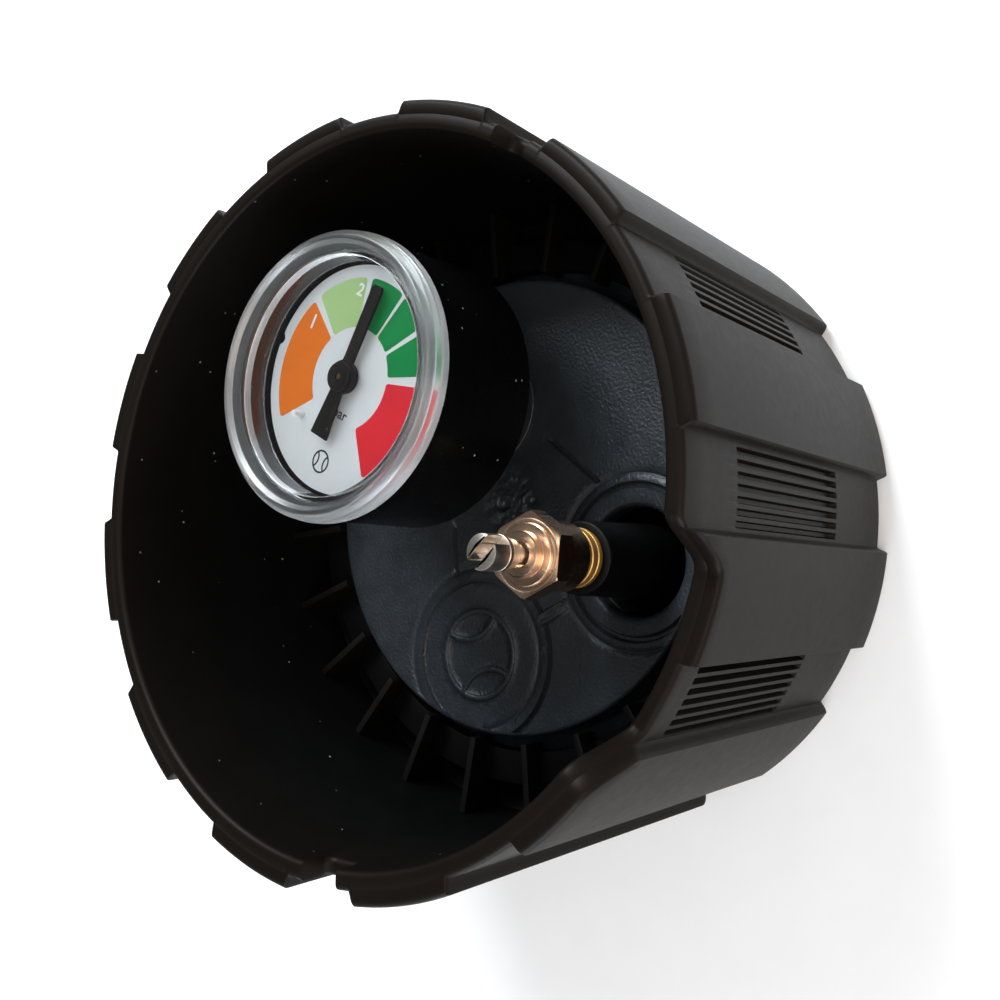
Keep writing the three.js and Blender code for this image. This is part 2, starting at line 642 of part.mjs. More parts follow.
function buildValve() {
  const place = (piece) => movedTo(piece, VALVE);
  add('valve_sleeve', place(valveSleeve()), rubber);
  add('valve_stem', place(valveStem()), brass);
  add('valve_washer', place(valveWasher()), steel);
  add('valve_nut', place(valveNut()), brass);
  add('core_body', place(coreBody()), brass);
  add('core_pin', place(corePin()), steel);
  add('core_spring', place(coreSpring()), steel);
  add('cap_seal', place(capSeal()), rubber);
  add('valve_cap', place(turnedBy(valveCap(), 12)), nickel);
  add('cap_key', place(turnedBy(capKey(), -30)), nickel);
}

// ---------------------------------------------------------------- assembly
add('grip_shell', gripShell(), shellPlastic);
add('snap_ring', snapRing(), nylon);
add('pressure_plate', pressurePlate(), platePlastic);
add('plate_gasket', gasket(), rubber);
buildGauge();
buildValve();

export default head;
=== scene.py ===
"""Looks of a ball pressuriser's screw-on head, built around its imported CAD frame.

Outlines and positions are in millimetres, taken from the frame where it has them, and become
metres when a piece is made.  +Z points out of the open cup.
"""

import math

import bmesh
import bpy
from mathutils import Matrix, Vector, noise
from mathutils.geometry import delaunay_2d_cdt


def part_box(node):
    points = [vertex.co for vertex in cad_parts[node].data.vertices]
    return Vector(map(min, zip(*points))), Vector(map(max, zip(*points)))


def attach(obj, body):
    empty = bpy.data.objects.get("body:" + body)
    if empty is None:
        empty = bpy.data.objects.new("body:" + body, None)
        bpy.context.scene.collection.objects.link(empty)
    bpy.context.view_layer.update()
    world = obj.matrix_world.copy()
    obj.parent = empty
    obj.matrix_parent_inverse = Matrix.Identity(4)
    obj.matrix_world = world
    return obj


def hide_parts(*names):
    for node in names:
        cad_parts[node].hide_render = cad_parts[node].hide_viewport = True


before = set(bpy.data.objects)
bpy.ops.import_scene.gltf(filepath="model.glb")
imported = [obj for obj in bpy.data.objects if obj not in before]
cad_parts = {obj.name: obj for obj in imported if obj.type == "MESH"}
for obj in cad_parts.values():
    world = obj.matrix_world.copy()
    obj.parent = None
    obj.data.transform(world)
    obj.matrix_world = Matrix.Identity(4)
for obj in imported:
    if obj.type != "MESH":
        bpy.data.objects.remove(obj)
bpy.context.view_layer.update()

MM = 0.001
scene = bpy.context.scene


# ---- places read from the frame
def low_high(node):
    """A CAD node's lowest and highest corners, in millimetres."""
    low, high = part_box(node)
    return low / MM, high / MM


def middle(node):
    """The axis of a round CAD node, as (x, y) in millimetres."""
    low, high = low_high(node)
    return ((low.x + high.x) / 2, (low.y + high.y) / 2)


RIM_Z = low_high("grip_shell")[1].z
PANEL_R = low_high("grip_shell")[1].x
GAUGE = middle("gauge_lens")
VALVE = middle("valve_stem")
LENS_TOP_Z = low_high("gauge_lens")[1].z
DIAL_Z = low_high("gauge_dial")[1].z
CASE_BACK_Z = low_high("gauge_case")[0].z
POINTER_Z = low_high("gauge_pointer")[0].z
HUB_TOP_Z = low_high("pointer_hub")[1].z
STEM_TOP_Z = low_high("valve_stem")[1].z
SLEEVE_TOP_Z = low_high("valve_sleeve")[1].z
CASE_TOP_Z = low_high("gauge_case")[1].z
HUB_LOW_Z = low_high("pointer_hub")[0].z
STOP_PIN_Z = [corner.z for corner in low_high("stop_pin")]
KEY_TIP_Z = low_high("cap_key")[1].z

# ---- driving dimensions
RIM_INNER_R = 48.0
RECESS_R = 50.5
FOOT_SCALE = 0.96
PANEL_COUNT = 12
PANEL_PITCH = 360 / PANEL_COUNT
PANEL_HALF_DEG = 8.3
PANEL_EDGE_DEG = 9.1
GROOVES_PER_PANEL = 7
GROOVE_PITCH_DEG = 1.65
GROOVE_HALF_WIDTH = 0.46
GROOVE_DEPTH = 0.95
GROOVE_LOW_Z = 19.5
GROOVE_HIGH_Z = 52.2
FOOT_ROUND = 1.9
RIM_ROUND = 0.8
SCALLOP_AZIMUTH = -98
SCALLOP_DEPTH = 8.7
SCALLOP_HALF_TOP = 15.5
SCALLOP_HALF_FLOOR = 9.4
SLOT_AZIMUTHS = (-15, -165)
SLOT_HALF_WIDTH = 3.1
SLOT_DEPTH = 4.6
SLOT_CORNER_R = 1.6
FIN_COUNT = 24
THREAD_ROOT_R = 41.7
THREAD_FOOT_Z = 4
THREAD_LEAD = 12
THREAD_SWEEP = 110
THREAD_STEPS = 40
PLATE_TOP_Z = 30.0
PLATE_R = 35.2
DIAL_TURN = -100.5  # azimuth of the dial's own three o'clock
BALL_LAND = (-23.93, -1.88)
SIGN_TURN = 35


# ---- mesh helpers
def polar(radius, degrees):
    """A point at a radius and azimuth."""
    return (radius * math.cos(math.radians(degrees)), radius * math.sin(math.radians(degrees)))


def smoothstep(low, high, value):
    """0 below low, 1 above high and smooth between."""
    t = min(max((value - low) / (high - low), 0.0), 1.0)
    return t * t * (3 - 2 * t)


def spread(low, high, count):
    """count evenly spaced numbers from low to high."""
    return [low + (high - low) * k / (count - 1) for k in range(count)]


def rounded(points, steps=4):
    """A closed outline of (x, y, rounding) points, its corners rounded."""
    outline = []
    for index, (x, y, rounding) in enumerate(points):
        corner = Vector((x, y))
        if not rounding:
            outline.append((x, y))
            continue
        before = Vector(points[index - 1][:2]) - corner
        after = Vector(points[(index + 1) % len(points)][:2]) - corner
        reach = rounding / math.tan(before.angle(after) / 2)
        reach = min(reach, before.length * 0.49, after.length * 0.49)
        start = corner + before.normalized() * reach
        end = corner + after.normalized() * reach
        for k in range(steps + 1):
            t = k / steps
            outline.append(tuple(start * (1 - t) ** 2 + corner * 2 * t * (1 - t) + end * t * t))
    return outline


def grid_faces(columns, rows, round_columns=True, round_rows=True):
    """Quads over vertices stored column by column; a round direction joins up with its start."""
    faces = []
    for k in range(columns if round_columns else columns - 1):
        here = k * rows
        there = (k + 1) % columns * rows
        for i in range(rows if round_rows else rows - 1):
            j = (i + 1) % rows
            faces.append((here + i, there + i, there + j, here + j))
    return faces


def revolved(profile, centre, segments, closed):
    """Vertices and faces of a turned skin from its (radius, height) profile."""
    verts = []
    for k in range(segments):
        cos, sin = polar(1, 360 * k / segments)
        verts += [(centre[0] + r * cos, centre[1] + r * sin, z) for r, z in profile]
    return verts, grid_faces(segments, len(profile), round_rows=closed)


def lathe(points, centre=(0, 0), segments=128, steps=4):
    """A turned solid from its closed (radius, height, rounding) outline."""
    return revolved(rounded(points, steps), centre, segments, True)


def open_lathe(profile, centre, segments):
    """A turned skin that is left open at both ends."""
    return revolved(profile, centre, segments, False)


def ring_points(inner, outer, low, high, rounding=0.15):
    """The outline of a plain ring for lathe(); an inner radius of 0 gives a disc."""
    inside = rounding if inner else 0
    return [(inner, low, inside), (outer, low, rounding), (outer, high, rounding), (inner, high, inside)]


def curve_mesh(curve):
    """Vertices and faces of a filled curve or text, in its own units."""
    holder = bpy.data.objects.new("outline", curve)
    scene.collection.objects.link(holder)
    mesh = bpy.data.meshes.new_from_object(holder)
    verts = [tuple(v.co) for v in mesh.vertices]
    faces = [tuple(p.vertices) for p in mesh.polygons]
    bpy.data.objects.remove(holder)
    bpy.data.curves.remove(curve)
    bpy.data.meshes.remove(mesh)
    return verts, faces


def cut_plate(loops, low, high, bevel=0.1):
    """A flat plate cut to closed loops of (x, y) points, the later loops being its holes."""
    curve = bpy.data.curves.new("outline", "CURVE")
    curve.dimensions = "2D"
    curve.fill_mode = "BOTH"
    curve.extrude = (high - low) / 2 - bevel
    curve.bevel_depth = bevel
    curve.bevel_resolution = 2
    curve.offset = -bevel
    for loop in loops:
        spline = curve.splines.new("POLY")
        spline.points.add(len(loop) - 1)
        for point, (x, y) in zip(spline.points, loop):
            point.co = (x, y, 0, 1)
        spline.use_cyclic_u = True
    verts, faces = curve_mesh(curve)
    return [(x, y, z + (low + high) / 2) for x, y, z in verts], faces


def circle(radius, centre=(0, 0), count=64):
    """A closed loop of points on a circle."""
    points = [polar(radius, 360 * k / count) for k in range(count)]
    return [(x + centre[0], y + centre[1]) for x, y in points]


def hexagon(across_flats):
    """The outline of a hexagon with slightly rounded corners."""
    return rounded([(*polar(across_flats / math.sqrt(3), 60 * k), 0.3) for k in range(6)], 3)


def turned(verts, degrees, centre=(0, 0)):
    """Vertices turned about +Z, then moved so that the origin comes to centre."""
    cos, sin = polar(1, degrees)
    return [(centre[0] + x * cos - y * sin, centre[1] + x * sin + y * cos, z) for x, y, z in verts]


def placed(shape, degrees, centre=(0, 0)):
    """A shape turned about +Z, then moved so that its origin comes to centre."""
    verts, faces = shape
    return turned(verts, degrees, centre), faces


def joined(parts):
    """Several (vertices, faces) pairs as one."""
    verts = []
    faces = []
    for part_verts, part_faces in parts:
        start = len(verts)
        verts += part_verts
        faces += [tuple(i + start for i in face) for face in part_faces]
    return verts, faces


def piece(name, shape, body, material, replaces=(), sharp=38):
    """Makes an object from vertices and faces in millimetres, and ties it to a CAD body."""
    verts, faces = shape
    mesh = bpy.data.meshes.new(name)
    mesh.from_pydata([(x * MM, y * MM, z * MM) for x, y, z in verts], [], faces)
    work = bmesh.new()
    work.from_mesh(mesh)
    bmesh.ops.remove_doubles(work, verts=work.verts, dist=1e-6)
    bmesh.ops.recalc_face_normals(work, faces=work.faces)
    work.to_mesh(mesh)
    work.free()
    mesh.shade_smooth()
    mesh.set_sharp_from_angle(angle=math.radians(sharp))
    mesh.materials.append(material)
    obj = bpy.data.objects.new(name, mesh)
    scene.collection.objects.link(obj)
    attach(obj, body)
    if replaces:
        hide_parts(*replaces)
    return obj


def bevelled_prism(outline, low, high, bevel=0.2):
    """An upright prism over a closed outline, all its edges bevelled."""
    count = len(outline)
    work = bmesh.new()
    foot = [work.verts.new((x, y, low)) for x, y in outline]
    top = [work.verts.new((x, y, high)) for x, y in outline]
    work.faces.new(foot)
    work.faces.new(top)
    for i in range(count):
        j = (i + 1) % count
        work.faces.new((foot[i], foot[j], top[j], top[i]))
    bmesh.ops.recalc_face_normals(work, faces=work.faces)
    bmesh.ops.bevel(work, geom=work.edges[:], offset=bevel, segments=2, profile=0.6, affect="EDGES")
    work.verts.index_update()
    verts = [tuple(v.co) for v in work.verts]
    faces = [tuple(v.index for v in f.verts) for f in work.faces]
    work.free()
    return verts, faces


# ---- materials
class Nodes:
    """A material's node tree around its Principled shader."""

    def __init__(self, name):
        self.material = bpy.data.materials.new(name)
        self.material.use_nodes = True
        self.tree = self.material.node_tree
        self.shader = self.tree.nodes["Principled BSDF"]
        self.place = self.tree.nodes.new("ShaderNodeTexCoord").outputs["Object"]

    def add(self, kind, **inputs):
        node = self.tree.nodes.new(kind)
        for key, value in inputs.items():
            node.inputs[key.replace("_", " ")].default_value = value
        return node

    def link(self, output, target):
        self.tree.links.new(output, target)

    def noise(self, scale, detail=3.0):
        node = self.add("ShaderNodeTexNoise", Scale=scale, Detail=detail)
        self.link(self.place, node.inputs["Vector"])
        return node.outputs["Fac"]

    def ramp(self, value, low, high, low_at=0.3, high_at=0.7):
        node = self.tree.nodes.new("ShaderNodeValToRGB")
        node.color_ramp.elements[0].position = low_at
        node.color_ramp.elements[1].position = high_at
        node.color_ramp.elements[0].color = (*low, 1)
        node.color_ramp.elements[1].color = (*high, 1)
        self.link(value, node.inputs["Fac"])
        return node.outputs["Color"]

    def bump(self, height, strength, distance):
        node = self.add("ShaderNodeBump", Strength=strength, Distance=distance)
        self.link(height, node.inputs["Height"])
        return node.outputs["Normal"]

    def dusted(self, tint, share):
        """The colour with pale dust specks in a share of the cells of a fine pattern."""
        speck = self.add("ShaderNodeTexVoronoi", Scale=420.0, Randomness=1.0)
        self.link(self.place, speck.inputs["Vector"])
        near = self.ramp(speck.outputs["Distance"], (1, 1, 1), (0, 0, 0), 0.02, 0.09)
        rare = self.ramp(speck.outputs["Color"], (0, 0, 0), (1, 1, 1), 1 - share, 1 - share * 0.8)
        both = self.tree.nodes.new("ShaderNodeMath")
        both.operation = "MULTIPLY"
        self.link(near, both.inputs[0])
        self.link(rare, both.inputs[1])
        mix = self.tree.nodes.new("ShaderNodeMixRGB")
        mix.inputs["Color2"].default_value = (0.40, 0.40, 0.38, 1)
        self.link(both.outputs["Value"], mix.inputs["Fac"])
        self.link(tint, mix.inputs["Color1"])
        return mix.outputs["Color"]


def set_constants(shader, constants):
    """Values that are the same all over the surface, set on the shader's own sockets."""
    for key, value in constants.items():
        shader.inputs[key].default_value = value


def finish_material(name, color, roughness, grain, *, variation=0.15, patch=120, dust=0.0, **constants):
    """A plain surface with patchy colour and gloss, a fine grain and, where asked, dust specks.

    grain is (scale per metre, strength, depth in metres).
    """
    nodes = Nodes(name)
    darker = [c * (1 - variation) for c in color]
    lighter = [min(c * (1 + variation), 1) for c in color]
    patches = nodes.noise(patch)
    tint = nodes.ramp(patches, darker, lighter)
    gloss = nodes.ramp(nodes.noise(patch * 4), [roughness * 0.85] * 3, [min(roughness * 1.15, 1)] * 3)
    if dust:
        tint = nodes.dusted(tint, dust)
    nodes.link(tint, nodes.shader.inputs["Base Color"])
    nodes.link(gloss, nodes.shader.inputs["Roughness"])
    scale, strength, depth = grain
    nodes.link(nodes.bump(nodes.noise(scale, 6), strength, depth), nodes.shader.inputs["Normal"])
    set_constants(nodes.shader, constants)
    return nodes.material


def turned_metal(name, color, roughness, centre, ring_scale=900.0, variation=0.06):
    """Metal with the fine rings that a lathe leaves around an upright axis."""
    nodes = Nodes(name)
    shift = nodes.add("ShaderNodeMapping", Location=(-centre[0] * MM, -centre[1] * MM, 0))
    nodes.link(nodes.place, shift.inputs["Vector"])
    rings = nodes.add("ShaderNodeTexWave", Scale=ring_scale, Distortion=0.6, Detail=2.0)
    rings.wave_type = "RINGS"
    rings.rings_direction = "Z"
    nodes.link(shift.outputs["Vector"], rings.inputs["Vector"])
    tint = nodes.ramp(nodes.noise(300), [c * (1 - variation) for c in color], color)
    gloss = nodes.ramp(nodes.noise(300), [roughness * 0.9] * 3, [min(roughness * 1.1, 1)] * 3)
    nodes.link(tint, nodes.shader.inputs["Base Color"])
    nodes.link(gloss, nodes.shader.inputs["Roughness"])
    nodes.link(nodes.bump(rings.outputs["Fac"], 0.08, 0.00002), nodes.shader.inputs["Normal"])
    set_constants(nodes.shader, {"Metallic": 1.0})
    return nodes.material


def axis_distance(nodes, centre):
    """Distance from an upright axis, as a node output in metres."""
    flat = nodes.add("ShaderNodeMapping", Location=(-centre[0] * MM, -centre[1] * MM, 0), Scale=(1, 1, 0))
    nodes.link(nodes.place, flat.inputs["Vector"])
    distance = nodes.tree.nodes.new("ShaderNodeVectorMath")
    distance.operation = "LENGTH"
    nodes.link(flat.outputs["Vector"], distance.inputs[0])
    return distance.outputs["Value"]


def step_at(nodes, value, low, high):
    """0 below low and 1 above high, both in millimetres."""
    step = nodes.tree.nodes.new("ShaderNodeMapRange")
    step.inputs["From Min"].default_value = low * MM
    step.inputs["From Max"].default_value = high * MM
    nodes.link(value, step.inputs["Value"])
    return step.outputs["Result"]


def clear_plastic(name, centre, face_r):
    """Clear moulded plastic, its face polished and its flange a little frosted."""
    nodes = Nodes(name)
    flange = step_at(nodes, axis_distance(nodes, centre), face_r, face_r + 1.0)
    nodes.link(nodes.ramp(flange, [0.02] * 3, [0.34] * 3, 0, 1), nodes.shader.inputs["Roughness"])
    nodes.link(nodes.bump(nodes.noise(60), 0.05, 0.0002), nodes.shader.inputs["Normal"])
    set_constants(nodes.shader, {
        "Base Color": (0.97, 0.98, 0.98, 1), "Transmission Weight": 1.0, "IOR": 1.49,
        "Specular IOR Level": 0.3})
    return nodes.material


def shell_plastic(name):
    """Black moulded plastic: satin outside, its slight warm tint a painted warm reflection; inside the cup a
    darker colour as painted shade, with dust specks.
    """
    nodes = Nodes(name)
    outside = step_at(nodes, axis_distance(nodes, (0, 0)), RIM_INNER_R - 0.2, RIM_INNER_R + 0.1)
    # Painted warm reflection: the outside colour of the black plastic is tinted warm.
    skin = nodes.ramp(nodes.noise(90), (0.0044, 0.0030, 0.0022), (0.0052, 0.0036, 0.0027))
    mix = nodes.tree.nodes.new("ShaderNodeMixRGB")
    nodes.link(outside, mix.inputs["Fac"])
    # Painted shade: inside the cup the same plastic gets a darker colour than outside, with pale dust specks
    # laid over it.
    inside = nodes.ramp(nodes.noise(150), [0.0022] * 3, [0.0032] * 3)
    nodes.link(nodes.dusted(inside, 0.36), mix.inputs["Color1"])
    nodes.link(skin, mix.inputs["Color2"])
    nodes.link(mix.outputs["Color"], nodes.shader.inputs["Base Color"])
    gloss = nodes.ramp(outside, [0.07] * 3, [0.085] * 3, 0, 1)
    nodes.link(gloss, nodes.shader.inputs["Specular IOR Level"])
    nodes.link(nodes.ramp(nodes.noise(700), [0.44] * 3, [0.48] * 3), nodes.shader.inputs["Roughness"])
    nodes.link(nodes.bump(nodes.noise(5200, 6), 0.2, 0.00005), nodes.shader.inputs["Normal"])
    # Painted warm reflection: the specular tint colours the plastic's highlights warm.
    set_constants(nodes.shader, {"Specular Tint": (1.0, 0.90, 0.84, 1)})
    return nodes.material


FINE = (9000.0, 0.12, 0.00004)
DULL = {"Specular IOR Level": 0.14}


def band_ink(name, color):
    """Ink of one printed band of the dial."""
    return finish_material(name, color, 0.38, FINE, variation=0.04, **DULL)


SHELL = shell_plastic("shell")
FIN = finish_material("fin", (0.0042, 0.0032, 0.0028), 0.5, (5200.0, 0.22, 0.00006), **DULL)
PLATE = finish_material("plate", (0.0215, 0.0265, 0.0315), 0.36, (2000.0, 0.7, 0.00020), variation=0.2)
CASE = finish_material("case", (0.0022, 0.0022, 0.0024), 0.25, FINE, dust=0.42, **DULL)
RUBBER = finish_material("rubber", (0.0025, 0.0025, 0.0026), 0.5, (7000.0, 0.25, 0.00004), **DULL)
SEAL = finish_material("seal", (0.008, 0.008, 0.008), 0.7, (6000.0, 0.3, 0.00005), **DULL)
NYLON = finish_material("nylon", (0.70, 0.67, 0.58), 0.45, FINE, variation=0.06)
ENAMEL = finish_material("enamel", (0.72, 0.75, 0.76), 0.35, FINE, variation=0.02, **DULL)
NEEDLE = finish_material("needle", (0.010, 0.008, 0.007), 0.42, (8000.0, 0.2, 0.00004), dust=0.35, **DULL)
BRASS = turned_metal("brass", (0.95, 0.60, 0.20), 0.58, VALVE)
GAUGE_BRASS = turned_metal("gauge_brass", (0.78, 0.55, 0.22), 0.3, GAUGE)
NICKEL = turned_metal("nickel", (0.66, 0.45, 0.31), 0.26, VALVE, ring_scale=1300.0)
BRIGHT = turned_metal("bright_nickel", (0.80, 0.72, 0.63), 0.3, VALVE)
STEEL = turned_metal("steel", (0.52, 0.52, 0.53), 0.3, VALVE)
BRONZE = turned_metal("bronze", (0.55, 0.31, 0.14), 0.32, GAUGE)
CLEAR = clear_plastic("clear", GAUGE, 16.9)
INK = finish_material("ink", (0.03, 0.03, 0.035), 0.4, FINE, variation=0.05, **DULL)
WHITE_INK = finish_material("white_ink", (0.88, 0.89, 0.88), 0.4, FINE, variation=0.02, **DULL)
ORANGE = band_ink("orange_ink", (0.80, 0.180, 0.012))
PALE_GREEN = band_ink("pale_green_ink", (0.40, 0.60, 0.25))
GREEN = band_ink("green_ink", (0.002, 0.25, 0.060))
RED = band_ink("red_ink", (0.76, 0.022, 0.035))


# ---- collar
def turn_from(azimuth, centre):
    """Signed degrees from one azimuth to another."""
    return (azimuth - centre + 180) % 360 - 180


def panel_radius(azimuth):
    """Outside radius at the rim: raised panels with ribbed ones between them."""
    offset = abs(turn_from(azimuth, PANEL_PITCH * round(azimuth / PANEL_PITCH)))
    return PANEL_R + (RECESS_R - PANEL_R) * smoothstep(PANEL_HALF_DEG, PANEL_EDGE_DEG, offset)


def groove_depth(azimuth, height):
    """Depth of the grip grooves at one place on the wall."""
    inside = smoothstep(GROOVE_LOW_Z, GROOVE_LOW_Z + 0.7, height)
    inside *= 1 - smoothstep(GROOVE_HIGH_Z - 0.7, GROOVE_HIGH_Z, height)
    offset = azimuth % PANEL_PITCH - PANEL_PITCH / 2
    outermost = GROOVES_PER_PANEL // 2
    nearest = min(max(round(offset / GROOVE_PITCH_DEG), -outermost), outermost)
    across = abs(offset - nearest * GROOVE_PITCH_DEG) * math.radians(1) * RECESS_R
    return GROOVE_DEPTH * inside * (1 - smoothstep(GROOVE_HALF_WIDTH * 0.6, GROOVE_HALF_WIDTH, across))


def wall_radius(azimuth, height):
    """Outside radius of the tapering wall."""
    taper = FOOT_SCALE + (1 - FOOT_SCALE) * height / RIM_Z
    return panel_radius(azimuth) * taper - groove_depth(azimuth, height)


def slot_drop(across):
    """How far a rim slot lowers the rim, across its width."""
    if across > SLOT_HALF_WIDTH:
        return 0.0
    corner = max(across - (SLOT_HALF_WIDTH - SLOT_CORNER_R), 0)
    return SLOT_DEPTH - SLOT_CORNER_R + math.sqrt(max(SLOT_CORNER_R ** 2 - corner ** 2, 0))


def rim_height(azimuth):
    """Height of the rim with its scallop and slots."""
    across = RIM_INNER_R * abs(math.sin(math.radians(turn_from(azimuth, SCALLOP_AZIMUTH))))
    height = RIM_Z
    if abs(turn_from(azimuth, SCALLOP_AZIMUTH)) < 60:
        height -= SCALLOP_DEPTH * (1 - smoothstep(SCALLOP_HALF_FLOOR, SCALLOP_HALF_TOP, across))
    for slot in SLOT_AZIMUTHS:
        height -= slot_drop(abs(math.radians(turn_from(azimuth, slot))) * RECESS_R)
    return height


GROOVE_SHARES = (-1, -0.87, -0.73, -0.6, 0, 0.6, 0.73, 0.87, 1)


def column_azimuths():
    """Azimuths of the wall's columns, close together where the wall has edges."""
    marks = set()
    half_width = math.degrees(GROOVE_HALF_WIDTH / RECESS_R)
    for k in range(PANEL_COUNT):
        centre = k * PANEL_PITCH
        marks.update(centre + a for a in spread(-PANEL_HALF_DEG, PANEL_HALF_DEG, 17))
        for edge in spread(PANEL_HALF_DEG, PANEL_EDGE_DEG, 6):
            marks.update((centre + edge, centre - edge))
        for groove in range(GROOVES_PER_PANEL):
            offset = (groove - (GROOVES_PER_PANEL - 1) / 2) * GROOVE_PITCH_DEG
            place = centre + PANEL_PITCH / 2 + offset
            marks.update(place + share * half_width for share in GROOVE_SHARES)
    for slot in SLOT_AZIMUTHS:
        for across in (2.2, 2.6, 2.85, 3.0, SLOT_HALF_WIDTH, SLOT_HALF_WIDTH + 0.06):
            marks.update(slot % 360 + side * math.degrees(across / RECESS_R) for side in (-1, 1))
    ordered = sorted(round(mark % 360, 3) for mark in marks)
    return [a for a, b in zip(ordered, ordered[1:] + [ordered[0] + 360]) if b - a > 0.02]


def quarter(centre_r, centre_z, radius, start, steps=4):
    """Points on a quarter circle that turns counter-clockwise from start degrees."""
    points = [polar(radius, start + 90 * k / steps) for k in range(steps + 1)]
    return [(centre_r + x, centre_z + y) for x, y in points]


# Inside of the shell from the foot of the cup down through the container's socket to the skirt.
SHELL_INSIDE = [
    (47.3, 22.9), (47.1, 22.2), (46.6, 22.0), (43.4, 22.0), (42.7, 22.3), (42.6, 22.9), (42.6, 26.0),
    (42.45, 26.4), (42.1, 26.5), (38.0, 26.5), (37.7, 26.4), (37.6, 26.1), (37.6, 23.9), (39.7, 23.9),
    (39.7, 17.0), (42.4, 17.0), (42.4, 15.0), (41.2, 15.0), (41.2, 1.3), (41.5, 0.6), (42.3, 0.0),
    (43.5, 0.0), (43.8, 0.3), (43.8, 19.4), (46.7, 19.4), (46.1, 0.4), (46.3, 0.0),
]


def shell_section(azimuth):
    """Closed (radius, height) section of the collar at one azimuth."""
    foot = wall_radius(azimuth, FOOT_ROUND)
    rim = rim_height(azimuth)
    shoulder = rim - RIM_ROUND
    section = quarter(foot - FOOT_ROUND, FOOT_ROUND, FOOT_ROUND, -90, 5)
    levels = [6, 12, 18] + spread(GROOVE_LOW_Z, GROOVE_LOW_Z + 0.7, 4) + [26, 33, 40, 47]
    levels += spread(GROOVE_HIGH_Z - 0.7, GROOVE_HIGH_Z, 4)
    levels += [GROOVE_HIGH_Z + (shoulder - GROOVE_HIGH_Z) * t for t in (0.3, 0.65)]
    section += [(wall_radius(azimuth, z), z) for z in levels]
    outer = wall_radius(azimuth, shoulder)
    section += quarter(outer - RIM_ROUND, shoulder, RIM_ROUND, 0)
    seam = RECESS_R - 0.35
    open_seam = 0.08 * smoothstep(RECESS_R + 0.9, PANEL_R - 0.2, panel_radius(azimuth))
    seam = min(seam, outer - RIM_ROUND - 0.2)
    section += [(seam, rim), (seam - 0.15, rim - open_seam), (seam - 0.3, rim)]
    section += quarter(RIM_INNER_R + RIM_ROUND, shoulder, RIM_ROUND, 90)
    section += [(RIM_INNER_R - 0.7 * (shoulder - z) / shoulder, z) for z in (shoulder * 0.85, 44, 36, 28)]
    return section + SHELL_INSIDE


def shell_surface():
    """Vertices and faces of the collar's wall, socket and shelf."""
    azimuths = column_azimuths()
    sections = [shell_section(a) for a in azimuths]
    verts = []
    for azimuth, section in zip(azimuths, sections):
        cos, sin = polar(1, azimuth)
        verts += [(r * cos, r * sin, z) for r, z in section]
    return verts, grid_faces(len(azimuths), len(sections[0]))


def upright_plate(outline, thickness, bevel, azimuth):
    """A plate that stands on a radius: its outline is in (radius, height)."""
    verts, faces = bevelled_prism(outline, -thickness / 2, thickness / 2, bevel)
    standing = [(x, -z, y) for x, y, z in verts]
    return turned(standing, azimuth), faces


def plates_around(outline, thickness, bevel):
    """The same upright plate repeated around the collar."""
    step = 360 / FIN_COUNT
    return joined([upright_plate(outline, thickness, bevel, (k + 0.5) * step) for k in range(FIN_COUNT)])


def fins():
    """Fins that stand around the pressure plate."""
    outline = [(36.3, 25.6), (41.8, 25.6), (41.8, 21.6), (48.0, 21.6), (47.6, 30.2), (36.3, 30.2)]
    return plates_around(outline, 1.1, 0.22)


def skirt_webs():
    """Webs between the socket and the grip wall, seen from below."""
    outline = [(43.2, 3), (47.0, 3), (47.0, 19.9), (43.2, 19.9)]
    return plates_around(outline, 1.4, 0.2)


def thread_start(azimuth):
    """One climbing start of the quick thread, run out to nothing at both ends."""
    section = [(41.7, 0.0), (39.75, 0.35), (39.6, 0.5), (39.6, 1.3), (39.75, 1.45), (41.7, 1.8)]
    verts = []
    for k in range(THREAD_STEPS + 1):
        turn = THREAD_SWEEP * k / THREAD_STEPS
        run_out = min(smoothstep(0, 6, turn), smoothstep(0, 6, THREAD_SWEEP - turn))
        for r, z in section:
            x, y = polar(THREAD_ROOT_R + (r - THREAD_ROOT_R) * run_out, azimuth + turn)
            verts.append((x, y, THREAD_FOOT_Z + THREAD_LEAD * turn / 360 + z))
    count = len(section)
    faces = grid_faces(THREAD_STEPS + 1, count, round_columns=False)
    faces.append(tuple(range(count)))
    faces.append(tuple(THREAD_STEPS * count + i for i in range(count)))
    return verts, faces


def quick_thread():
    """Three climbing starts of the container's quick thread."""
    return joined([thread_start(azimuth) for azimuth in (0, 120, 240)])


def split_ring():
    """Ring that snaps below the plate's flange."""
    outer = [polar(42.1, a) for a in spread(5, 355, 180)]
    inner = [polar(38.2, a) for a in spread(355, 5, 180)]
    return cut_plate([outer + inner], 15.3, 16.7, 0.2)


def make_collar():
    """All pieces of the collar body."""
    piece("collar_shell", shell_surface(), "collar", SHELL, ["grip_shell"], sharp=32)
    piece("collar_fins", fins(), "collar", FIN)
    piece("collar_webs", skirt_webs(), "collar", SHELL)
    piece("collar_thread", quick_thread(), "collar", SHELL)
    piece("collar_snap_ring", split_ring(), "collar", NYLON, ["snap_ring"])


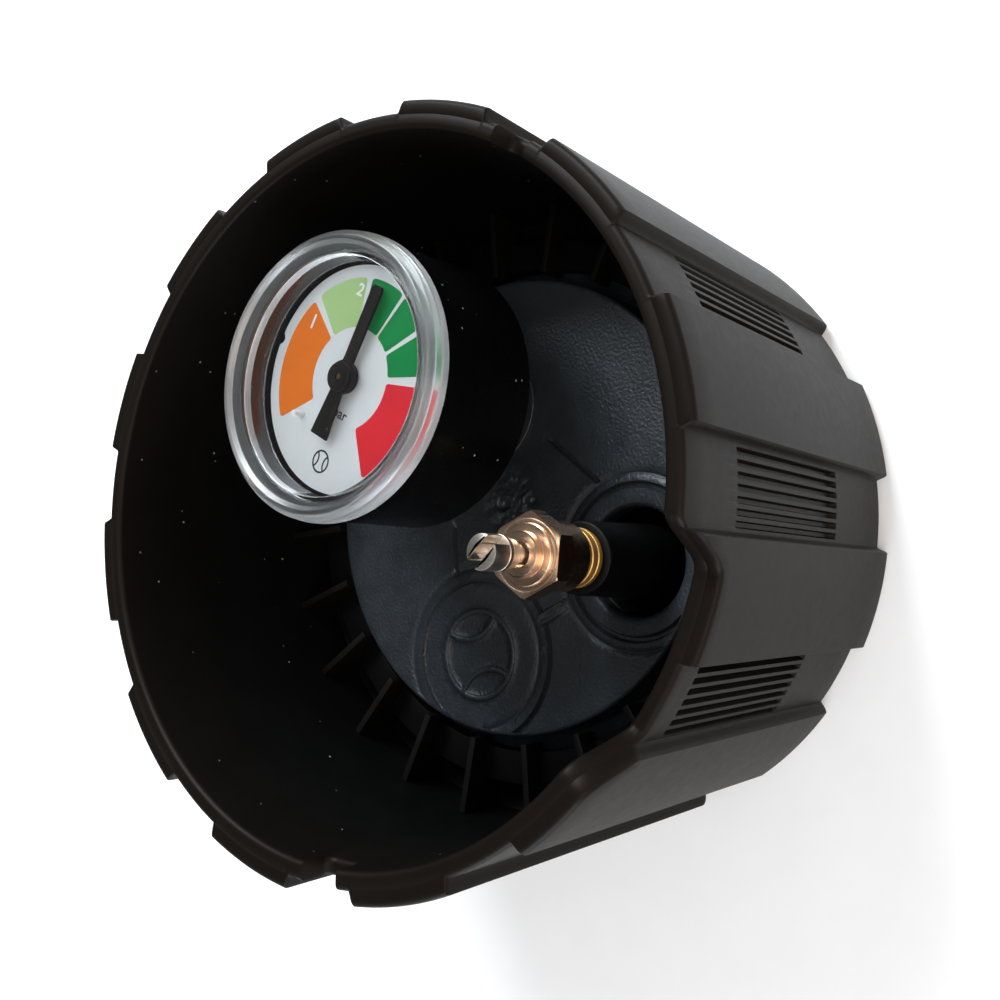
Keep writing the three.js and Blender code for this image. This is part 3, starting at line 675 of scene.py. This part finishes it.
# ---- pressure plate
PLATE_FACE_R = 34.7
PLATE_INSIDE_R = 32.6
PLATE_SKIN_Z = PLATE_TOP_Z - 3
VALVE_MOUTH_R = 8.65
VALVE_BORE_R = 7.85
VALVE_GROOVE_R = 11.0
VALVE_HAIRLINE_R = 12.8
BALL_GROOVE_R = 13.35
BALL_HAIRLINE_R = 11.2
WIDE_OFFSETS = (-0.54, -0.36, -0.19, 0, 0.19, 0.36, 0.54)
SIGN_R = 6.55
SEAM_R = 6.05
SEAM_CENTRE_X = 8.6
SIGN_OFFSETS = (-0.5, -0.39, -0.28, 0.28, 0.39, 0.5)
GATE_R = 4.7
GATE_PITS = [((-0.9, 1.1), 1.3), ((1.1, -3.9), 1.2)]
SEAM_LINES = [((-6.8, 9.3), (-13.2, 6.7)), ((10.9, -4.7), (7.0, -14.9))]
TAB_CENTRE = (-13.7, -13.2)
TAB_TURN = -45.7


def groove(distance, half_width, depth):
    """Depth of a groove with soft edges at a distance from its middle."""
    return depth * (1 - smoothstep(half_width * 0.45, half_width + 0.12, distance))


def distance_to_line(point, start, end):
    """Distance from a point to a straight stretch."""
    along = end - start
    share = min(max((point - start).dot(along) / along.length_squared, 0), 1)
    return (point - start - along * share).length


def sign_height(point):
    """Raised generic ball sign: a ring and two seam arcs."""
    local = Matrix.Rotation(-math.radians(SIGN_TURN), 2) @ (point - Vector(BALL_LAND))
    edge = abs(local.length - SIGN_R)
    for side in (-1, 1):
        seam = abs((local - Vector((side * SEAM_CENTRE_X, 0))).length - SEAM_R)
        if local.length < 6.6:
            edge = min(edge, seam)
    return 0.35 * (1 - smoothstep(0.28, 0.5, edge))


def plate_height(x, y):
    """Height of the plate's face over its level, in millimetres."""
    point = Vector((x, y))
    from_valve = (point - Vector(VALVE)).length
    to_ball = point - Vector(BALL_LAND)
    side = smoothstep(-0.5, 0.6, to_ball.normalized().dot(Vector((0.35, -0.94)))) if to_ball.length else 0
    cut = groove(abs(from_valve - VALVE_GROOVE_R), 0.42, 0.8)
    cut = max(cut, groove(abs(from_valve - VALVE_HAIRLINE_R), 0.16, 0.3))
    cut = max(cut, groove(abs(to_ball.length - BALL_GROOVE_R), 0.42, 0.15 + 0.7 * side))
    cut = max(cut, groove(abs(to_ball.length - BALL_HAIRLINE_R), 0.24, 0.5 - 0.3 * side))
    for start, end in SEAM_LINES:
        cut = max(cut, groove(distance_to_line(point, Vector(start), Vector(end)), 0.36, 0.8))
    height = sign_height(point) - cut
    tab = Matrix.Rotation(-math.radians(TAB_TURN), 2) @ (point - Vector(TAB_CENTRE))
    on_tab = (1 - smoothstep(2.6, 3.0, abs(tab.x))) * (1 - smoothstep(0.75, 1.0, abs(tab.y)))
    height = height * (1 - on_tab) + on_tab * (0.5 - groove(abs(tab.y), 0.14, 0.25))
    if point.length < GATE_R + 0.6:
        bowl = 1 - smoothstep(GATE_R - 0.4, GATE_R + 0.3, point.length)
        rough = noise.fractal(Vector((x * 0.55, y * 0.55, 3.0)), 0.8, 2.1, 3)
        height += bowl * (0.4 * rough - 0.2)
        for centre, radius in GATE_PITS:
            near = (point - Vector(centre)).length
            height -= 0.9 * (1 - smoothstep(radius * 0.4, radius, near))
    return height


def plate_marks():
    """Circles and lines that the plate's mesh follows, as (points, closed) pairs."""
    marks = [(circle(PLATE_FACE_R, count=288), True), (circle(VALVE_MOUTH_R, VALVE, 96), True)]
    ringed = [
        (VALVE, VALVE_GROOVE_R, WIDE_OFFSETS), (VALVE, VALVE_HAIRLINE_R, (-0.28, -0.12, 0, 0.12, 0.28)),
        (BALL_LAND, BALL_GROOVE_R, WIDE_OFFSETS), (BALL_LAND, BALL_HAIRLINE_R, (-0.36, -0.2, 0, 0.2, 0.36))]
    for centre, middle_r, offsets in ringed:
        marks += [(circle(middle_r + o, centre, 240), True) for o in offsets]
    marks += [(circle(SIGN_R + o, BALL_LAND, 96), True) for o in SIGN_OFFSETS]
    marks += [(circle(GATE_R + o, (0, 0), 64), True) for o in (-0.4, -0.05, 0.3)]
    for side in (-1, 1):
        for o in SIGN_OFFSETS:
            arc = [polar(SEAM_R + o, a) for a in spread(-50, 50, 32)]
            seam = [(side * (SEAM_CENTRE_X - x), y) for x, y in arc]
            turned_seam = turned([(x, y, 0) for x, y in seam], SIGN_TURN, BALL_LAND)
            marks.append(([(x, y) for x, y, _ in turned_seam], False))
    for start, end in SEAM_LINES:
        a = Vector(start)
        b = Vector(end)
        across = Vector((a.y - b.y, b.x - a.x)).normalized()
        for o in (-0.48, -0.3, -0.16, 0, 0.16, 0.3, 0.48):
            marks.append(([tuple(a.lerp(b, t) + across * o) for t in spread(0, 1, 30)], False))
    for o in (0.75, 0.88, 1.0):
        reach = o + 2.0
        box = [(-reach, -o, 0), (reach, -o, 0), (reach, o, 0), (-reach, o, 0)]
        marks.append(([(x, y) for x, y, _ in turned(box, TAB_TURN, TAB_CENTRE)], True))
    return marks


def fill_points(reach, spacing):
    """A grid of points inside a circle, in rows set half a step apart."""
    points = []
    rows = int(reach / (spacing * 0.866))
    for row in range(-rows, rows + 1):
        y = row * spacing * 0.866
        shift = spacing / 2 * (row % 2)
        half = math.sqrt(max((reach - 0.3) ** 2 - y * y, 0))
        count = int(half / spacing)
        points += [(k * spacing + shift, y) for k in range(-count, count + 1)]
    return [p for p in points if math.hypot(*p) < reach - 0.3]


NEAR_MARK = 0.3


def near_mark(point, crowded):
    """Whether a point falls in or beside a cell that a mark passes through."""
    column = round(point[0] / NEAR_MARK)
    row = round(point[1] / NEAR_MARK)
    return any((column + i, row + j) in crowded for i in (-1, 0, 1) for j in (-1, 0, 1))


def triangulated(marks, reach, spacing, keep, dense=()):
    """Triangles of a flat face that follows the marks; keep says which middles stay."""
    points = []
    edges = []
    for loop, closed in marks:
        start = len(points)
        points += [Vector(p) for p in loop]
        last = len(loop) if closed else len(loop) - 1
        for k in range(last):
            a = start + k
            b = start + (k + 1) % len(loop)
            if points[a].length <= reach + 0.01 and points[b].length <= reach + 0.01:
                edges.append((a, b))
    crowded = {(round(p.x / NEAR_MARK), round(p.y / NEAR_MARK)) for p in points}
    fill = fill_points(reach, spacing)
    for centre, radius, step in dense:
        fill += [(x + centre[0], y + centre[1]) for x, y in fill_points(radius, step)]
    points += [Vector(p) for p in fill if not near_mark(p, crowded)]
    inside = [i for i, p in enumerate(points) if p.length <= reach + 0.01]
    renumbered = {old: new for new, old in enumerate(inside)}
    coords = [points[i] for i in inside]
    kept_edges = [(renumbered[a], renumbered[b]) for a, b in edges]
    verts, _, faces, *_ = delaunay_2d_cdt(coords, kept_edges, [], 0, 1e-5)
    chosen = []
    for face in faces:
        centre = sum((verts[i] for i in face), Vector((0, 0))) / len(face)
        if keep(centre):
            chosen.append(tuple(face))
    return verts, chosen


def outside_valve(radius):
    """A test that keeps the middles outside a circle around the valve."""
    return lambda p: (p - Vector(VALVE)).length > radius - 0.01


def plate_face():
    """The plate's detailed top skin; its borders stay level, so that the rims join on."""
    verts, faces = triangulated(
        plate_marks(), PLATE_FACE_R, 0.8, outside_valve(VALVE_MOUTH_R), [((0, 0), GATE_R + 0.5, 0.22)])
    top = []
    for v in verts:
        on_edge = v.length > PLATE_FACE_R - 0.02
        on_mouth = (v - Vector(VALVE)).length < VALVE_MOUTH_R + 0.02
        height = 0 if on_edge or on_mouth else plate_height(v.x, v.y)
        top.append((v.x, v.y, PLATE_TOP_Z + height))
    return top, faces


def plate_underside():
    """The plate's level skin seen from below."""
    marks = [(circle(PLATE_INSIDE_R, count=288), True), (circle(VALVE_BORE_R, VALVE, 96), True)]
    verts, faces = triangulated(marks, PLATE_INSIDE_R, 4.0, outside_valve(VALVE_BORE_R))
    return [(v.x, v.y, PLATE_SKIN_Z) for v in verts], faces


def plate_solid():
    """The pressure plate: its detailed face, rim, flange and underside."""
    foot = 20.2
    rim = [
        (PLATE_FACE_R, PLATE_TOP_Z), (35.0, 29.88), (35.17, 29.65), (PLATE_R, 29.3), (PLATE_R, 23.9),
        (35.4, 23.6), (38.9, 23.6), (39.15, 23.5), (39.2, 23.2), (39.2, 20.5), (39.0, foot), (32.8, foot),
        (PLATE_INSIDE_R, 20.4), (PLATE_INSIDE_R, PLATE_SKIN_Z)]
    mouth = [
        (VALVE_MOUTH_R, PLATE_TOP_Z), (8.3, 29.85), (8.0, 29.5), (VALVE_BORE_R, 29.1),
        (VALVE_BORE_R, PLATE_SKIN_Z)]
    rims = [open_lathe(rim, (0, 0), 288), open_lathe(mouth, VALVE, 96)]
    return joined([plate_face()] + rims + [plate_underside()])


def valve_well():
    """Deep socket that the valve's sleeve stands in."""
    points = [
        (4.3, 14, 0.2), (9.85, 14, 0.8), (9.85, 27.5, 0), (7.9, 27.5, 0), (7.9, 16.5, 0.9), (4.3, 16.5, 0.2)]
    return lathe(points, VALVE, 96)


def gauge_boss():
    """Boss that the gauge's brass connection screws into."""
    points = [
        (4.9, 22, 0.2), (8, 22, 0.4), (8, 26, 0), (10, 26, 0), (10, 30.8, 0.35), (8, 30.8, 0.3),
        (8, 34, 0.4), (4.9, 34, 0.3)]
    return lathe(points, GAUGE, 96)


def plate_ribs():
    """Ribs under the plate."""
    ribs = []
    for k in range(6):
        outline = [(5.5, 22.5), (32.9, 22.5), (32.9, 27.6), (5.5, 27.6)]
        ribs.append(upright_plate(outline, 1.4, 0.2, 60 * k + 5))
    return joined(ribs)


def make_plate():
    """All pieces of the pressure plate itself."""
    piece("plate_disc", plate_solid(), "plate", PLATE, ["pressure_plate"], sharp=60)
    piece("plate_valve_well", valve_well(), "plate", RUBBER)
    piece("plate_gauge_boss", gauge_boss(), "plate", PLATE)
    piece("plate_ribs", plate_ribs(), "plate", PLATE)
    gasket = lathe(ring_points(34.6, 38.9, 17.3, 19.9, 0.5), segments=192)
    piece("container_gasket", gasket, "plate", SEAL, ["plate_gasket"])


# ---- gauge
PRINT_LOW_Z = DIAL_Z - 0.02
PRINT_HIGH_Z = DIAL_Z + 0.03


def on_dial(shape):
    """A shape drawn around the dial's centre, turned with the dial and put in place."""
    return placed(shape, DIAL_TURN, GAUGE)


def band(start, end, inner=7.5, outer=14.8, corner=0.6):
    """Printed band between two dial angles, its corners rounded in radius and arc."""
    middle_r = (inner + outer) / 2
    width = math.radians(end - start) * middle_r
    corners = [(0, inner), (width, inner), (width, outer), (0, outer)]
    flat = rounded([(along, radius, corner) for along, radius in corners], 5)
    loop = []
    for index, (along, radius) in enumerate(flat):
        following = flat[(index + 1) % len(flat)]
        pieces = 24 if abs(following[0] - along) > 2 * corner else 1
        for k in range(pieces):
            share = along + (following[0] - along) * k / pieces
            loop.append(polar(radius, start + (end - start) * share / width))
    return cut_plate([loop], PRINT_LOW_Z, PRINT_HIGH_Z, 0.0)


def text_plate(words, size, centre, low, high, weight=0.0):
    """Plain lettering as a thin plate, level with the dial's own right."""
    curve = bpy.data.curves.new("words", "FONT")
    curve.body = words
    curve.size = size
    curve.align_x = "CENTER"
    curve.align_y = "CENTER"
    curve.extrude = (high - low) / 2
    curve.offset = weight
    verts, faces = curve_mesh(curve)
    return [(x + centre[0], y + centre[1], z + (low + high) / 2) for x, y, z in verts], faces


def printed_ball(radius, centre):
    """Printed generic ball sign: a ring with two seam arcs."""
    line = radius * 0.16
    ring = [circle(radius), circle(radius - line)]
    parts = [cut_plate(ring, PRINT_LOW_Z, PRINT_HIGH_Z, 0.0)]
    outer = [polar(radius * 0.9 + line / 2, a) for a in spread(-46, 46, 24)]
    inner = [polar(radius * 0.9 - line / 2, a) for a in spread(46, -46, 24)]
    for side in (-1, 1):
        seam = [(side * (radius * 1.25 - x), y) for x, y in outer + inner]
        parts.append(cut_plate([seam], PRINT_LOW_Z, PRINT_HIGH_Z, 0.0))
    verts, faces = joined(parts)
    return [(x + centre[0], y + centre[1], z) for x, y, z in verts], faces


def make_dial():
    """The dial and what is printed on it."""
    hole = circle(1.1, count=32)
    notch = [polar(16.6, a) for a in spread(-177, 177, 160)]
    notch += [(-16.9 + x, y) for x, y in (polar(0.95, a) for a in spread(80, -80, 14))]
    face = cut_plate([notch, hole], DIAL_Z - 0.7, DIAL_Z, 0.08)
    piece("dial_face", on_dial(face), "plate", ENAMEL, ["gauge_dial"])
    bands = [
        ("orange", 149.6, 225, ORANGE), ("pale_green", 106, 144.3, PALE_GREEN),
        ("green_1", 75.5, 102, GREEN), ("green_2", 51, 73, GREEN), ("green_3", 23, 47.5, GREEN),
        ("red", -49.5, 16.5, RED)]
    for name, start, end, ink in bands:
        piece("dial_band_" + name, on_dial(band(start, end)), "plate", ink)
    over_bands = (DIAL_Z + 0.02, DIAL_Z + 0.06)
    one = text_plate("1", 3.1, polar(12.3, 158), *over_bands, 0.05)
    two = text_plate("2", 2.6, polar(12.9, 110.5), *over_bands, 0.05)
    piece("dial_numeral_1", on_dial(one), "plate", WHITE_INK)
    piece("dial_numeral_2", on_dial(two), "plate", WHITE_INK)
    unit = text_plate("bar", 2.2, polar(5.2, 281), PRINT_LOW_Z, PRINT_HIGH_Z, 0.02)
    piece("dial_unit", on_dial(unit), "plate", INK)
    piece("dial_ball_sign", on_dial(printed_ball(1.7, (0.9, -12.6))), "plate", INK)
    pin = lathe(ring_points(0, 0.45, *STOP_PIN_Z, 0.15), polar(10.3, 232.6), 32)
    piece("dial_stop_pin", on_dial(pin), "plate", WHITE_INK, ["stop_pin"])


def make_pointer():
    """The pointer with its two-layer hub."""
    right = [(1.7, -9.1), (1.15, -2.3)]
    right += [polar(2.5, a) for a in spread(-62, 66, 24)]
    right += [(0.95, 3.2), (1.05, 13.3), (0.75, 13.9)]
    left = [(-x, y) for x, y in reversed(right)]
    blade = cut_plate([right + left, circle(1.5, count=48)], POINTER_Z, POINTER_Z + 0.6, 0.1)
    piece("pointer_blade", on_dial(blade), "needle", NEEDLE, ["gauge_pointer"])
    low = HUB_LOW_Z
    top = HUB_TOP_Z
    boss = [
        (0.8, low, 0), (2.3, low, 0.1), (2.3, low + 0.4, 0.1), (1.2, low + 0.45, 0),
        (1.2, top - 0.6, 0), (2.1, top - 0.55, 0.1), (2.1, top, 0.15), (0.45, top, 0.05),
        (0.45, top - 0.2, 0), (0.8, top - 0.2, 0)]
    piece("pointer_hub_boss", lathe(boss, GAUGE, 64), "needle", NEEDLE, ["pointer_hub"])


def make_gauge():
    """Case, lens and connection of the gauge."""
    back = CASE_BACK_Z
    case = [
        (5.6, back, 0.2), (18.6, back, 0.5), (19.85, back + 1.3, 0.8), (19.85, CASE_TOP_Z, 0.25),
        (17.9, CASE_TOP_Z, 0.2), (17.9, back + 1.6, 0.3), (5.6, back + 1.6, 0.1)]
    piece("gauge_case_shell", lathe(case, GAUGE, 192), "plate", CASE, ["gauge_case"])
    top = LENS_TOP_Z
    foot = CASE_TOP_Z + 0.3
    lens = [
        (0, top - 1.4, 0), (16.9, top - 1.4, 0.1), (16.9, foot - 2.2, 0.15), (17.6, foot - 2.2, 0.15),
        (17.6, foot, 0.05), (20.3, foot, 0.2), (20.3, foot + 1.1, 0.15), (20.1, foot + 1.3, 0.15),
        (20.1, top - 0.9, 0.5), (19.3, top, 0.4), (18.7, top, 0.3), (18.1, top - 0.5, 0.3),
        (0, top - 0.5, 0)]
    piece("gauge_lens_clear", lathe(lens, GAUGE, 192, 5), "plate", CLEAR, ["gauge_lens"])
    shank = [
        (1.6, 22, 0.1), (4.6, 22, 0.5), (4.6, 36, 0), (5.3, 36, 0), (5.3, 46, 0.2), (6.4, 46, 0.1),
        (6.4, 49, 0.3), (1.6, 49, 0.1)]
    nut = bevelled_prism(hexagon(11), 35.6, back - 0.3, 0.15)
    connection = joined([lathe(shank, (0, 0), 96), nut])
    piece("gauge_connection", on_dial(connection), "plate", GAUGE_BRASS, ["gauge_socket"])
    seal = lathe(ring_points(4.9, 7.6, 34.3, 35.3, 0.3), GAUGE, 96)
    piece("gauge_seal_ring", seal, "plate", SEAL, ["socket_seal"])
    make_dial()
    make_pointer()


# ---- valve
VALVE_THREAD_PITCH = 0.79
CAP_ACROSS_FLATS = 9.8
CAP_TURN = 12
KEY_TURN = -30
KEY_SLOT_HALF_WIDTH = 0.75


def make_valve():
    """Sleeve, threaded stem and fastenings of the inflation valve."""
    sleeve = [
        (3.5, 16.8, 0), (7, 16.8, 0.3), (7, 18.4, 0.5), (5.7, 19.6, 0.8), (5.05, 40, 1),
        (5.0, SLEEVE_TOP_Z, 0.5), (3.5, SLEEVE_TOP_Z, 0.2)]
    piece("valve_rubber", lathe(sleeve, VALVE, 96), "plate", RUBBER, ["valve_sleeve"])
    stem = [(1.6, 9, 0.1), (3.9, 9, 0.4), (3.9, 16.5, 0), (3.2, 16.5, 0), (3.2, 44.7, 0), (4, 44.7, 0.15)]
    for z in (45.7, 47.1):
        stem += [(4, z - 0.15, 0.06), (3.75, z, 0.06), (4, z + 0.15, 0.06)]
    stem += [(4, 48.2, 0.15), (3.75, 48.2, 0)]
    thread = 48.5
    while thread < STEM_TOP_Z - 1:
        stem += [(3.75, thread, 0.05), (3.45, thread + 0.35, 0.05), (3.75, thread + 0.7, 0.05)]
        thread += VALVE_THREAD_PITCH
    stem += [(3.4, STEM_TOP_Z, 0.2), (2.65, STEM_TOP_Z, 0.1), (2.65, 40, 0), (1.6, 40, 0)]
    piece("valve_tube", lathe(stem, VALVE, 96, 2), "plate", BRASS, ["valve_stem"])
    nut = cut_plate([hexagon(11), circle(4.05, count=64)], 9.9, 12.4, 0.2)
    piece("valve_lock_nut", placed(nut, 0, VALVE), "plate", BRASS, ["valve_nut"])
    washer = lathe(ring_points(4.2, 7, 12.7, 13.7, 0.2), VALVE, 96)
    piece("valve_flat_washer", washer, "plate", STEEL, ["valve_washer"])


def hexagon_edge(across_flats, count):
    """Bearings and distances of points along the sides of a hexagon."""
    points = []
    radius = across_flats / math.sqrt(3)
    for k in range(6):
        start = Vector(polar(radius, 60 * k))
        end = Vector(polar(radius, 60 * (k + 1)))
        points += [start.lerp(end, t) for t in spread(0, 1, count + 1)[:-1]]
    return [(math.degrees(math.atan2(p.y, p.x)), p.length) for p in points]


def hex_cap():
    """Hexagonal cap with its round skirt, chamfers and stepped, turned face."""
    edge = hexagon_edge(CAP_ACROSS_FLATS, 16)
    skirt = [(4.1, 48.5), (4.45, 48.5), (4.6, 48.65), (4.6, 53.0), (5.0, 53.05), (5.25, 53.1)]
    flats = [(5.75, 53.45), (5.75, 56.15), (5.45, 56.3), (4.75, 56.3), (4.6, 56.26), (4.45, 56.3)]
    face = [(4.05, 56.3), (4.0, 56.62), (3.9, 56.7), (3.4, 56.7), (3.0, 56.75), (2.92, 56.85)]
    collar = [(2.9, 57.9), (2.75, 58.1), (1.75, 58.1), (1.6, 57.95), (1.6, 56.7), (0, 56.7)]
    inside = [(0, 54.9), (3.9, 54.9), (4.1, 54.7)]
    profile = skirt + flats + face + collar + inside
    verts = []
    for r, z in profile:
        verts += [(*polar(min(r, distance), bearing), z) for bearing, distance in edge]
    return verts, grid_faces(len(profile), len(edge))


def fork_key():
    """Forked key of the cap, cut from a turned blank."""
    blank = [
        (0, 57, 0), (1.3, 57, 0.1), (1.3, 59.6, 0.3), (1.9, 59.9, 0.4), (1.9, 61.2, 0.3),
        (2.3, 61.9, 0.2), (2.3, 62.55, 0.05), (0, 62.55, 0)]
    shank = lathe(blank, (0, 0), 64)
    outer_edge = math.degrees(math.asin(KEY_SLOT_HALF_WIDTH / 2.3))
    inner_edge = math.degrees(math.asin(KEY_SLOT_HALF_WIDTH / 0.98))
    outer = [polar(2.27, a) for a in spread(outer_edge, 180 - outer_edge, 20)]
    inner = [polar(0.98, a) for a in spread(180 - inner_edge, inner_edge, 10)]
    prongs = []
    for side in (-1, 1):
        loop = [(x, side * y) for x, y in outer + inner]
        prongs.append(bevelled_prism(loop if side > 0 else loop[::-1], 62.4, KEY_TIP_Z, 0.3))
    return joined([shank] + prongs)


def make_cap():
    """The cap with its key."""
    cap = placed(hex_cap(), CAP_TURN, VALVE)
    piece("cap_hexagon", cap, "cap", NICKEL, ["valve_cap"], sharp=24)
    key = placed(fork_key(), KEY_TURN, VALVE)
    piece("cap_fork_key", key, "cap", BRIGHT, ["cap_key"])


# ---- CAD nodes that stay
KEPT = {
    "bourdon_tube": BRONZE,
    "movement_back_plate": GAUGE_BRASS,
    "movement_front_plate": GAUGE_BRASS,
    "movement_pillar_1": STEEL,
    "movement_pillar_2": STEEL,
    "sector_gear": GAUGE_BRASS,
    "pinion_staff": GAUGE_BRASS,
    "dial_ring": CASE,
    "core_body": BRASS,
    "core_pin": STEEL,
    "core_spring": STEEL,
    "cap_seal": SEAL,
}


def dress_kept_nodes():
    """Gives every CAD node that stays visible its material."""
    for name, material in KEPT.items():
        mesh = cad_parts[name].data
        mesh.materials.clear()
        mesh.materials.append(material)


# ---- floor, light and camera
CAMERA_AT = Vector((0.0190, -0.1120, 0.1795))
LOOK_AT = Vector((0.02105, -0.0070, 0.0400))
CAMERA_UP = Vector((0.968, 0.193, 0.159))
LIT_AT = (0, 0, 0.04)


def make_floor():
    """A plain pale floor."""
    mesh = bpy.data.meshes.new("floor")
    reach = 1.5
    corners = [(-reach, -reach, 0), (reach, -reach, 0), (reach, reach, 0), (-reach, reach, 0)]
    mesh.from_pydata(corners, [], [(0, 1, 2, 3)])
    pale = finish_material("floor", (0.90, 0.90, 0.90), 0.8, (40.0, 0.02, 0.0002), variation=0.01)
    mesh.materials.append(pale)
    floor = bpy.data.objects.new("floor", mesh)
    scene.collection.objects.link(floor)


def make_light(name, place, target, size, power, color):
    """A soft square lamp that looks at a point."""
    lamp = bpy.data.lights.new(name, "AREA")
    lamp.size = size
    lamp.energy = power
    lamp.color = color
    holder = bpy.data.objects.new(name, lamp)
    holder.location = place
    holder.rotation_euler = (Vector(target) - Vector(place)).to_track_quat("-Z", "Y").to_euler()
    scene.collection.objects.link(holder)


def make_world():
    """Soft daylight from all around, darker overhead where the lens would mirror it."""
    world = bpy.data.worlds.new("daylight")
    world.use_nodes = True
    tree = world.node_tree
    background = tree.nodes["Background"]
    background.inputs["Color"].default_value = (0.97, 0.98, 1.0, 1)
    toward = tree.nodes.new("ShaderNodeVectorMath")
    toward.operation = "DOT_PRODUCT"
    toward.inputs[1].default_value = (0.0, 0.72, 0.69)
    strength = tree.nodes.new("ShaderNodeMapRange")
    strength.interpolation_type = "SMOOTHSTEP"
    strength.inputs["From Min"].default_value = 0.35
    strength.inputs["From Max"].default_value = 0.95
    strength.inputs["To Min"].default_value = 0.85
    strength.inputs["To Max"].default_value = 0.10
    tree.links.new(tree.nodes.new("ShaderNodeTexCoord").outputs["Generated"], toward.inputs[0])
    tree.links.new(toward.outputs["Value"], strength.inputs["Value"])
    tree.links.new(strength.outputs["Result"], background.inputs["Strength"])
    scene.world = world
    scene.view_settings.view_transform = "Standard"


def make_camera():
    """The camera at the photograph's angle, rolled so that the cup opens to the left."""
    lens = bpy.data.cameras.new("camera")
    lens.lens = 43.2
    lens.sensor_width = 36
    lens.shift_x = -0.0404
    lens.shift_y = -0.1319
    lens.clip_start = 0.01
    camera = bpy.data.objects.new("camera", lens)
    back = (CAMERA_AT - LOOK_AT).normalized()
    right = CAMERA_UP.cross(back).normalized()
    up = back.cross(right)
    turn = Matrix((right, up, back)).transposed()
    camera.matrix_world = Matrix.Translation(CAMERA_AT) @ turn.to_4x4()
    scene.collection.objects.link(camera)
    scene.camera = camera


make_floor()
make_world()
make_light("window", (0.40, 0.26, 0.46), LIT_AT, 0.34, 7.0, (0.88, 0.95, 1.0))
make_light("room", (-0.06, -0.46, 0.44), LIT_AT, 0.35, 1.7, (1.0, 0.88, 0.78))
make_light("sky", (-0.55, -0.22, 0.16), LIT_AT, 0.30, 3.0, (0.80, 0.90, 1.0))
make_camera()
make_collar()
make_plate()
make_gauge()
make_valve()
make_cap()
dress_kept_nodes()
